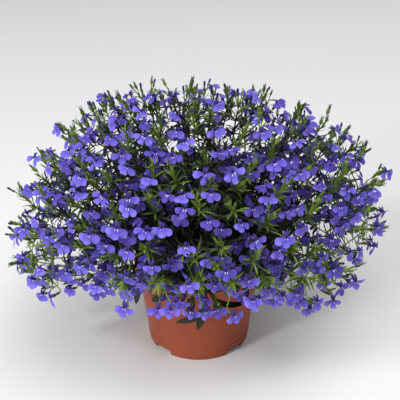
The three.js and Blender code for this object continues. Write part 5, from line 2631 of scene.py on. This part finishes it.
class BroadLeaf:
    """A broad leaf that rises from the plant's foot, hangs over the rim and ends in a point."""

    def __init__(self, number: int, line: list[Vec], drape: Drape) -> None:
        """Joins the planned stalk to the drape.

        Args:
            number: its number, from 0.
            line: the points of its leaf in the plan.
            drape: how it lies past the rim.
        """
        self.number = number
        aside = (number % 3 - 1) * 0.6 * unit(cross(UP, line[0] * np.array([1, 1, 0])))
        self.line = [point + aside for point in line[:3]]
        self.line += [np.array(point, float) for point in drape.points]
        self.radius = drape.half_width
        self.random = np.random.default_rng(LEAF_SEED + number)

    def build(self) -> Object:
        """The stalk and the blade as one sheet with a midrib and toothed edges.

        Returns:
            The piece.
        """
        size, r = BroadSize(), self.random
        points = smooth_line(self.line, size.points)
        steps = np.linalg.norm(np.diff(np.array(self.line), axis=0), axis=1)
        places = np.concatenate([[0], np.cumsum(steps)]) / steps.sum()
        t = np.linspace(0, 1, len(points))
        tail = places[-1] - places[-2]
        knots = [*places[:5], *(1 - tail * share for share in size.tail), 1.0]
        half = np.interp(t, knots, size.halves)
        half = np.convolve(np.pad(half, 2, mode="edge"), np.ones(5) / 5, mode="valid")
        half[-1] = size.halves[-1]
        blade = np.clip((t - places[2]) / (1 - places[2]), 0, 1)
        teeth = size.tooth * np.abs(np.sin(blade * size.teeth)) * (blade > 0.1)
        half = half * self.radius * (1 + teeth)
        travel = norm(np.gradient(points, axis=0))
        azimuth = np.arctan2(points[:, 1], points[:, 0])
        across = np.stack([-np.sin(azimuth), np.cos(azimuth), 0 * azimuth], -1)
        across = norm(across - travel * np.sum(across * travel, -1, keepdims=True))
        over = norm(np.cross(travel, across))
        over *= np.where(over[:, 2:3] < -0.2, -1, 1)
        u = np.linspace(-1, 1, size.columns)
        bowl = size.bowl[0] * np.abs(u) - size.bowl[1] * u * u
        wave = size.wave * np.sin(blade[:, None] * size.waves + r.uniform(0, 6)) * u[None] ** 2
        rise = (bowl[None] + wave) * half[:, None]
        sheet = (
            points[:, None] + across[:, None] * (u[None] * half[:, None])[..., None]
            + over[:, None] * rise[..., None]
        )
        work = MeshWork(GREEN_VALUES)
        work.grid(sheet, along=blade[:, None], across=u, tone=r.uniform(0, 0.3))
        rib = np.clip(size.rib[0] - size.rib[1] * blade, 0.1, 1)
        path = points - over * (rib * 0.35)[:, None]
        ribs, quads = tubes(path[None], rib[None], size.rib_sides)
        marks = marked(GREEN_VALUES, (*ribs.shape[:2], 1), tone=0.3, stem=0.7)
        work.add(ribs, marks, quads)
        leaf = work.to_object(f"broad_leaf_{self.number + 1:02d}")
        # Painted shade: the broad leaves lie under the plant, so they are darkened, less towards
        # the blade's edges.
        blade_shade = np.tile(size.deep[0] - size.deep[1] * u**6, len(points))
        rib_shade = np.full(ribs.shape[1], size.rib_shade)
        keep_value(leaf.data, "deep", np.concatenate([blade_shade, rib_shade]))
        return leaf


# ---------------------------------------------------------------- finishes


Colour = tuple[float, float, float]


class Net:
    """Adds and links shader nodes in a material or a group."""

    def __init__(self, tree: NodeTree) -> None:
        """Starts on a tree of nodes."""
        self.tree = tree

    def node(self, kind: str, **values: object) -> Node:
        """A new node with some of its settings.

        Args:
            kind: the node's type.
            values: its settings by their names.

        Returns:
            The node.
        """
        node = self.tree.nodes.new(kind)
        for name, value in values.items():
            setattr(node, name, value)
        return node

    def feed(self, socket: NodeSocket, value: object) -> None:
        """Links an output to a socket, or sets the socket's own value.

        Args:
            socket: the input.
            value: an output, a number or a colour.
        """
        if isinstance(value, NodeSocket):
            self.tree.links.new(value, socket)
        elif isinstance(value, tuple) and len(value) == 3 and socket.type == "RGBA":
            socket.default_value = (*value, 1)
        else:
            socket.default_value = value

    def math(self, operation: str, *values: object) -> NodeSocket:
        """The outcome of one sum on values or outputs.

        Args:
            operation: the kind of sum.
            values: what it works on.

        Returns:
            Its outcome.
        """
        node = self.node("ShaderNodeMath", operation=operation)
        for socket, value in zip(node.inputs, values):
            self.feed(socket, value)
        return node.outputs[0]

    def times(self, first: object, second: object) -> NodeSocket:
        """One value or output times another."""
        return self.math("MULTIPLY", first, second)

    def blend(self, share: object, first: object, second: object) -> NodeSocket:
        """A colour part of the way from the first to the second.

        Args:
            share: how much of the second, from 0 to 1.
            first: the first colour.
            second: the second colour.

        Returns:
            The colour.
        """
        node = self.node("ShaderNodeMix", data_type="RGBA")
        self.feed(node.inputs["Factor"], share)
        self.feed(node.inputs[6], first)
        self.feed(node.inputs[7], second)
        return node.outputs[2]

    def span(
        self, value: object, low: object, high: object, first: float = 0, last: float = 1
    ) -> NodeSocket:
        """A value moved softly from one range to another.

        Args:
            value: the value.
            low: where its range starts.
            high: where its range ends.
            first: where the new range starts.
            last: where the new range ends.

        Returns:
            The moved value.
        """
        node = self.node("ShaderNodeMapRange", interpolation_type="SMOOTHSTEP")
        for socket, number in zip(node.inputs, (value, low, high, first, last)):
            self.feed(socket, number)
        return node.outputs[0]

    def value_at(self, name: str) -> NodeSocket:
        """A value kept at the mesh's points."""
        return self.node("ShaderNodeAttribute", attribute_name=name).outputs["Fac"]

    def ramp(self, value: object, stops: list[tuple[float, Colour]]) -> NodeSocket:
        """A colour from a row of colours.

        Args:
            value: the place in the row.
            stops: the colours with their places.

        Returns:
            The colour.
        """
        node = self.node("ShaderNodeValToRGB")
        self.feed(node.inputs[0], value)
        elements = node.color_ramp.elements
        while len(elements) < len(stops):
            elements.new(0.5)
        for element, (place, colour) in zip(elements, stops):
            element.position = place
            element.color = (*colour, 1)
        return node.outputs[0]

    def mask(self, tree: NodeTree, **values: object) -> NodeSocket:
        """The mask of a node group.

        Args:
            tree: the group.
            values: what its inputs get, by their names.

        Returns:
            The mask.
        """
        node = self.node("ShaderNodeGroup", node_tree=tree)
        for name, value in values.items():
            self.feed(node.inputs[name], value)
        return node.outputs["Mask"]


def new_group(name: str, **inputs: float) -> tuple[Net, Node, Node]:
    """An empty shader node group whose only output is a mask.

    Args:
        name: its name.
        inputs: its inputs with their usual values.

    Returns:
        The net, its input node and its output node.
    """
    tree = bpy.data.node_groups.new(name, "ShaderNodeTree")
    for label, value in inputs.items():
        socket = tree.interface.new_socket(label, in_out="INPUT", socket_type="NodeSocketFloat")
        socket.default_value = value
    tree.interface.new_socket("Mask", in_out="OUTPUT", socket_type="NodeSocketFloat")
    net = Net(tree)
    return net, net.node("NodeGroupInput"), net.node("NodeGroupOutput")


def mottle_group() -> NodeTree:
    """Soft uneven patches over a surface: a mask from 0 to 1.

    Returns:
        The group.
    """
    net, given, out = new_group("soft mottle", Scale=100, Detail=3, Low=0.35, High=0.65)
    place = net.node("ShaderNodeTexCoord").outputs["Object"]
    noise = net.node("ShaderNodeTexNoise")
    net.feed(noise.inputs["Vector"], place)
    net.feed(noise.inputs["Scale"], given.outputs["Scale"])
    net.feed(noise.inputs["Detail"], given.outputs["Detail"])
    mask = net.span(noise.outputs["Fac"], given.outputs["Low"], given.outputs["High"])
    net.feed(out.inputs["Mask"], mask)
    return net.tree


def vein_group() -> NodeTree:
    """Fine lines that run along a blade and fan out: a mask that is 1 on a line.

    Returns:
        The group.
    """
    net, given, out = new_group("veins", Along=0, Across=0, Count=4, Slant=0, Width=0.3)
    given = given.outputs
    lines = net.times(net.math("ABSOLUTE", given["Across"]), given["Count"])
    slanted = net.times(given["Along"], given["Slant"])
    turn = net.math("FRACT", net.math("SUBTRACT", lines, slanted))
    away = net.math("ABSOLUTE", net.math("SUBTRACT", turn, 0.5))
    net.feed(out.inputs["Mask"], net.span(away, given["Width"], 0))
    return net.tree


def new_material(name: str) -> tuple[Material, Net, Node]:
    """An empty material with its main shader.

    Args:
        name: its name.

    Returns:
        The material, its net and its Principled BSDF.
    """
    material = bpy.data.materials.new(name)
    material.use_nodes = True
    return material, Net(material.node_tree), material.node_tree.nodes["Principled BSDF"]


@dataclass(frozen=True)
class Surface:
    """How rough and how shiny a finish is, and the strength and depth in metres of its relief."""

    roughness: Range
    relief: Range
    specular: float = 0.5

    def dress(
        self, net: Net, shader: Node, colour: NodeSocket, patches: NodeSocket, height: NodeSocket
    ) -> None:
        """Feeds a finish to its main shader.

        Args:
            net: the material's net.
            shader: its main shader.
            colour: its colour.
            patches: where it is rougher, from 0 to 1.
            height: its relief, from 0 to 1.
        """
        net.feed(shader.inputs["Base Color"], colour)
        net.feed(shader.inputs["Roughness"], net.span(patches, 0, 1, *self.roughness))
        shader.inputs["Specular IOR Level"].default_value = self.specular
        bump = net.node("ShaderNodeBump")
        bump.inputs["Strength"].default_value, bump.inputs["Distance"].default_value = self.relief
        net.feed(bump.inputs["Height"], height)
        net.feed(shader.inputs["Normal"], bump.outputs[0])


@dataclass(frozen=True)
class PetalFinish:
    """Velvety violet-blue petals: lighter edges, fine veins, a white eye, and painted shade deep in
    the plant.
    """

    throat: Colour = (0.075, 0.028, 0.28)
    body: Colour = (0.12, 0.08, 0.56)
    edge: Colour = (0.23, 0.19, 0.78)
    deep: Colour = (0.05, 0.027, 0.29)
    # dark violet of the tube, ears and column, also used as painted shade on blooms deep in the
    # plant
    dark: Colour = (0.02, 0.01, 0.1)
    eye: Colour = (0.85, 0.86, 0.95)
    surface: Surface = Surface((0.5, 0.66), (0.35, 0.0002), 0.2)
    sheen: float = 0.05
    sheen_roughness: float = 0.4

    def build(self, mottle: NodeTree, veins: NodeTree) -> Material:
        """Makes the petals' material.

        Args:
            mottle: the group of soft patches.
            veins: the group of fine lines.

        Returns:
            The material.
        """
        material, net, shader = new_material("petal")
        along, across = net.value_at("along"), net.value_at("across")
        colour = net.ramp(along, [(0.05, self.throat), (0.4, self.body), (0.97, self.edge)])
        tone = net.value_at("tone")
        colour = net.blend(net.span(tone, 0.3, 1.05, 0, 0.8), colour, self.deep)
        lines = net.mask(veins, Along=along, Across=across, Count=2.6, Slant=0.4, Width=0.2)
        fade = net.span(along, 0.1, 0.95, 0.9, 0.15)
        colour = net.blend(net.times(lines, fade), colour, self.deep)
        patches = net.mask(mottle, Scale=420, Detail=2, Low=0.3, High=0.75)
        colour = net.blend(net.times(patches, 0.16), colour, self.edge)
        colour = net.blend(net.value_at("dark"), colour, self.dark)
        # Painted shade: blooms deep in the plant are darkened towards the dark violet.
        colour = net.blend(net.times(net.value_at("deep"), 0.6), colour, self.dark)
        colour = net.blend(net.span(net.value_at("white"), 0.25, 0.7), colour, self.eye)
        self.surface.dress(net, shader, colour, patches, lines)
        shader.inputs["Sheen Weight"].default_value = self.sheen
        shader.inputs["Sheen Roughness"].default_value = self.sheen_roughness
        return material


@dataclass(frozen=True)
class GreenFinish:
    """Leaves, stems and calyces: green with a pale midrib, brown where withered, and painted shade,
    near black, deep in the plant.
    """

    shade: Colour = (0.01, 0.028, 0.005)
    leaf: Colour = (0.046, 0.102, 0.009)
    fresh: Colour = (0.17, 0.265, 0.027)
    stem: Colour = (0.17, 0.26, 0.03)
    rib: Colour = (0.16, 0.24, 0.035)
    dry: Colour = (0.3, 0.24, 0.1)
    # near black painted shade of the plant's inside
    heart_shade: Colour = (0.003, 0.006, 0.002)
    surface: Surface = Surface((0.42, 0.58), (0.4, 0.0003), 0.4)

    def build(self, mottle: NodeTree, veins: NodeTree) -> Material:
        """Makes the leaves' material.

        Args:
            mottle: the group of soft patches.
            veins: the group of fine lines.

        Returns:
            The material.
        """
        material, net, shader = new_material("greenery")
        along, across = net.value_at("along"), net.value_at("across")
        tone = net.value_at("tone")
        patches = net.mask(mottle, Scale=260, Detail=3, Low=0.3, High=0.7)
        uneven = net.math("ADD", tone, net.times(patches, 0.25))
        colour = net.ramp(uneven, [(0.12, self.shade), (0.72, self.leaf), (1.0, self.fresh)])
        middle = net.span(net.math("ABSOLUTE", across), 0.22, 0.0)
        colour = net.blend(net.times(middle, 0.45), colour, self.rib)
        lines = net.mask(veins, Along=along, Across=across, Count=1.2, Slant=7, Width=0.14)
        colour = net.blend(net.times(lines, 0.18), colour, self.shade)
        colour = net.blend(net.times(net.value_at("stem"), 0.7), colour, self.stem)
        colour = net.blend(net.times(net.value_at("dry"), 0.8), colour, self.dry)
        # Painted shade: leaves and stems deep in the plant are darkened to near black.
        colour = net.blend(net.span(net.value_at("deep"), 0, 0.6, 0, 0.93), colour, self.heart_shade)
        self.surface.dress(net, shader, colour, patches, lines)
        return material


@dataclass(frozen=True)
class PlasticFinish:
    """Terracotta-coloured satin plastic with faint flow marks, scuffs and dust."""

    body: Colour = (0.32, 0.07, 0.032)
    pale: Colour = (0.37, 0.096, 0.05)
    scuff: Colour = (0.46, 0.22, 0.15)
    surface: Surface = Surface((0.36, 0.48), (0.12, 0.0001), 0.14)

    def build(self, mottle: NodeTree) -> Material:
        """Makes the pot's material.

        Args:
            mottle: the group of soft patches.

        Returns:
            The material.
        """
        material, net, shader = new_material("terracotta plastic")
        wide = net.mask(mottle, Scale=14, Detail=4, Low=0.3, High=0.7)
        fine = net.mask(mottle, Scale=900, Detail=2, Low=0.3, High=0.7)
        colour = net.blend(net.times(wide, 0.35), self.body, self.pale)
        colour = net.blend(net.times(fine, 0.12), colour, self.pale)
        worn = net.times(net.value_at("wear"), net.times(fine, 0.3))
        colour = net.blend(worn, colour, self.scuff)
        self.surface.dress(net, shader, colour, wide, fine)
        return material


@dataclass(frozen=True)
class SoilFinish:
    """Dark peat with lighter crumbs and white grains."""

    dark: Colour = (0.014, 0.009, 0.006)
    light: Colour = (0.075, 0.045, 0.026)
    grain: Colour = (0.62, 0.6, 0.55)
    surface: Surface = Surface((0.8, 1.0), (0.8, 0.0008))

    def build(self, mottle: NodeTree) -> Material:
        """Makes the peat's material.

        Args:
            mottle: the group of soft patches.

        Returns:
            The material.
        """
        material, net, shader = new_material("peat")
        fine = net.mask(mottle, Scale=700, Detail=5, Low=0.3, High=0.7)
        share = net.times(net.math("ADD", fine, net.value_at("shade")), 0.5)
        colour = net.blend(share, self.dark, self.light)
        colour = net.blend(net.value_at("grain"), colour, self.grain)
        self.surface.dress(net, shader, colour, fine, fine)
        return material


@dataclass(frozen=True)
class FloorFinish:
    """The pale matt floor of a studio."""

    body: Colour = (0.8, 0.8, 0.81)
    roughness: float = 0.9
    specular: float = 0.1
    solid_reach: float = 1.3
    end: float = 2.6

    def build(self) -> Material:
        """Makes the floor's material, which fades away far from the plant.

        Returns:
            The material.
        """
        material, net, shader = new_material("studio floor")
        away = net.node("ShaderNodeVectorMath", operation="LENGTH")
        net.feed(away.inputs[0], net.node("ShaderNodeTexCoord").outputs["Object"])
        fade = net.span(away.outputs["Value"], self.solid_reach, self.end, 1, 0)
        net.feed(shader.inputs["Alpha"], fade)
        shader.inputs["Base Color"].default_value = (*self.body, 1)
        shader.inputs["Roughness"].default_value = self.roughness
        shader.inputs["Specular IOR Level"].default_value = self.specular
        return material


class Finishes:
    """All materials, made once."""

    def __init__(self) -> None:
        """Makes the shared groups and all materials."""
        mottle, veins = mottle_group(), vein_group()
        self.petal = PetalFinish().build(mottle, veins)
        self.green = GreenFinish().build(mottle, veins)
        self.plastic = PlasticFinish().build(mottle)
        self.soil = SoilFinish().build(mottle)
        self.floor = FloorFinish().build()


# ---------------------------------------------------------------- studio


@dataclass(frozen=True)
class Lamp:
    """A square soft light."""

    name: str
    place: tuple[float, float, float]
    size: float
    power: float


@dataclass
class Studio:
    """The camera, the lights and the floor."""

    camera_place: tuple[float, float, float] = (0.0013, -0.8117, 0.5982)
    camera_pitch: float = 29
    lens: float = 90
    sensor: float = 36
    clip: Range = (0.01, 50)
    aim: tuple[float, float, float] = (0, 0, 0.13)
    world: float = 0.12
    backdrop: float = 0.72
    floor_reach: float = 9
    lamps: tuple[Lamp, ...] = (
        Lamp("key light", (-1.4, -1.2, 1.84), 0.4, 24),
        Lamp("low light", (-1.55, -1.3, 0.78), 0.3, 20),
        Lamp("top light", (0.2, -0.6, 2.4), 1.6, 23),
        Lamp("front light", (0, -1.7, 2.2), 1.6, 13),
        Lamp("right light", (1.2, -0.5, 2.2), 1.6, 12),
        Lamp("left light", (-1.9, 0.2, 1.6), 1.2, 3),
        Lamp("back light", (1.07, 1.28, 1.99), 1.0, 10),
    )

    def light(self, lamp: Lamp) -> None:
        """Sets up one light.

        Args:
            lamp: its place, size and power.
        """
        data = bpy.data.lights.new(lamp.name, "AREA")
        data.shape = "SQUARE"
        data.size = lamp.size
        data.energy = lamp.power
        light = bpy.data.objects.new(lamp.name, data)
        light.location = lamp.place
        away = Vector(self.aim) - Vector(lamp.place)
        light.rotation_euler = away.to_track_quat("-Z", "Y").to_euler()
        bpy.context.scene.collection.objects.link(light)

    def build(self, finishes: Finishes) -> None:
        """Sets up the whole studio.

        Args:
            finishes: all materials.
        """
        scene = bpy.context.scene
        data = bpy.data.cameras.new("camera")
        data.lens = self.lens
        data.sensor_width = self.sensor
        data.clip_start, data.clip_end = self.clip
        camera = bpy.data.objects.new("camera", data)
        camera.location = self.camera_place
        camera.rotation_euler = (math.radians(90 - self.camera_pitch), 0, 0)
        scene.collection.objects.link(camera)
        scene.camera = camera
        world = bpy.data.worlds.new("studio")
        world.use_nodes = True
        net = Net(world.node_tree)
        tone = world.node_tree.nodes["Background"].inputs
        tone["Color"].default_value = (1, 1, 1, 1)
        seen = net.node("ShaderNodeLightPath").outputs["Is Camera Ray"]
        net.feed(tone["Strength"], net.span(seen, 0, 1, self.world, self.backdrop))
        scene.world = world
        for lamp in self.lamps:
            self.light(lamp)
        scene.view_settings.view_transform = "Standard"
        reach = self.floor_reach
        mesh = bpy.data.meshes.new("floor")
        mesh.from_pydata(
            [(-reach, -reach, 0), (reach, -reach, 0), (reach, reach, 0), (-reach, reach, 0)],
            [], [(0, 1, 2, 3)],
        )
        floor = bpy.data.objects.new("floor", mesh)
        mesh.materials.append(finishes.floor)
        scene.collection.objects.link(floor)


# ---------------------------------------------------------------- the whole plant


def share_trailers(layout: Layout) -> list[list[tuple[Collar, Trailer]]]:
    """Finds the nearest flowering collar for each long shoot.

    Args:
        layout: the plant's plan.

    Returns:
        For each stem, its long shoots with their collars.
    """
    reach = DRESS.trailer_reach
    shared: list[list[tuple[Collar, Trailer]]] = [[] for _ in layout.stems]
    for trailer in TRAILERS:
        options = [
            (length_of(branch.collar.centre - trailer.end() * reach), number, branch.collar)
            for number, stem in enumerate(layout.stems)
            for branch in stem.flowering()
        ]
        _, number, collar = min(options, key=lambda option: option[0])
        shared[number].append((collar, trailer))
    return shared


def main() -> None:
    """Builds the potted plant on its frame."""
    logging.basicConfig(level=logging.INFO, format="%(message)s")
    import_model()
    finishes = Finishes()
    Studio().build(finishes)
    settle(Pot().build(), "pot", finishes.plastic, "pot")
    settle(Soil().build(), "soil", finishes.soil, "soil")
    layout = Layout(SEED)
    for number, drape in enumerate(DRAPES):
        leaf = BroadLeaf(number, layout.basal[drape.leaf], drape).build()
        settle(leaf, "leaf", finishes.green, f"basal_leaf_{drape.leaf + 1:02d}")
    corollas = [Corolla(COROLLA_SEED + k).stamp() for k in range(COROLLA.variants)]
    taken = [
        side.shoot.centre
        for stem in layout.stems
        for branch in stem.flowering()
        for side in branch.collar.sides
        if isinstance(side.shoot, Bloom)
    ]
    trailers = share_trailers(layout)
    for number, stem in enumerate(layout.stems):
        spray = Spray(number, stem, layout, corollas)
        spray.settle(spray.build(taken, trailers[number]), finishes)


if __name__ == "__main__":
    main()
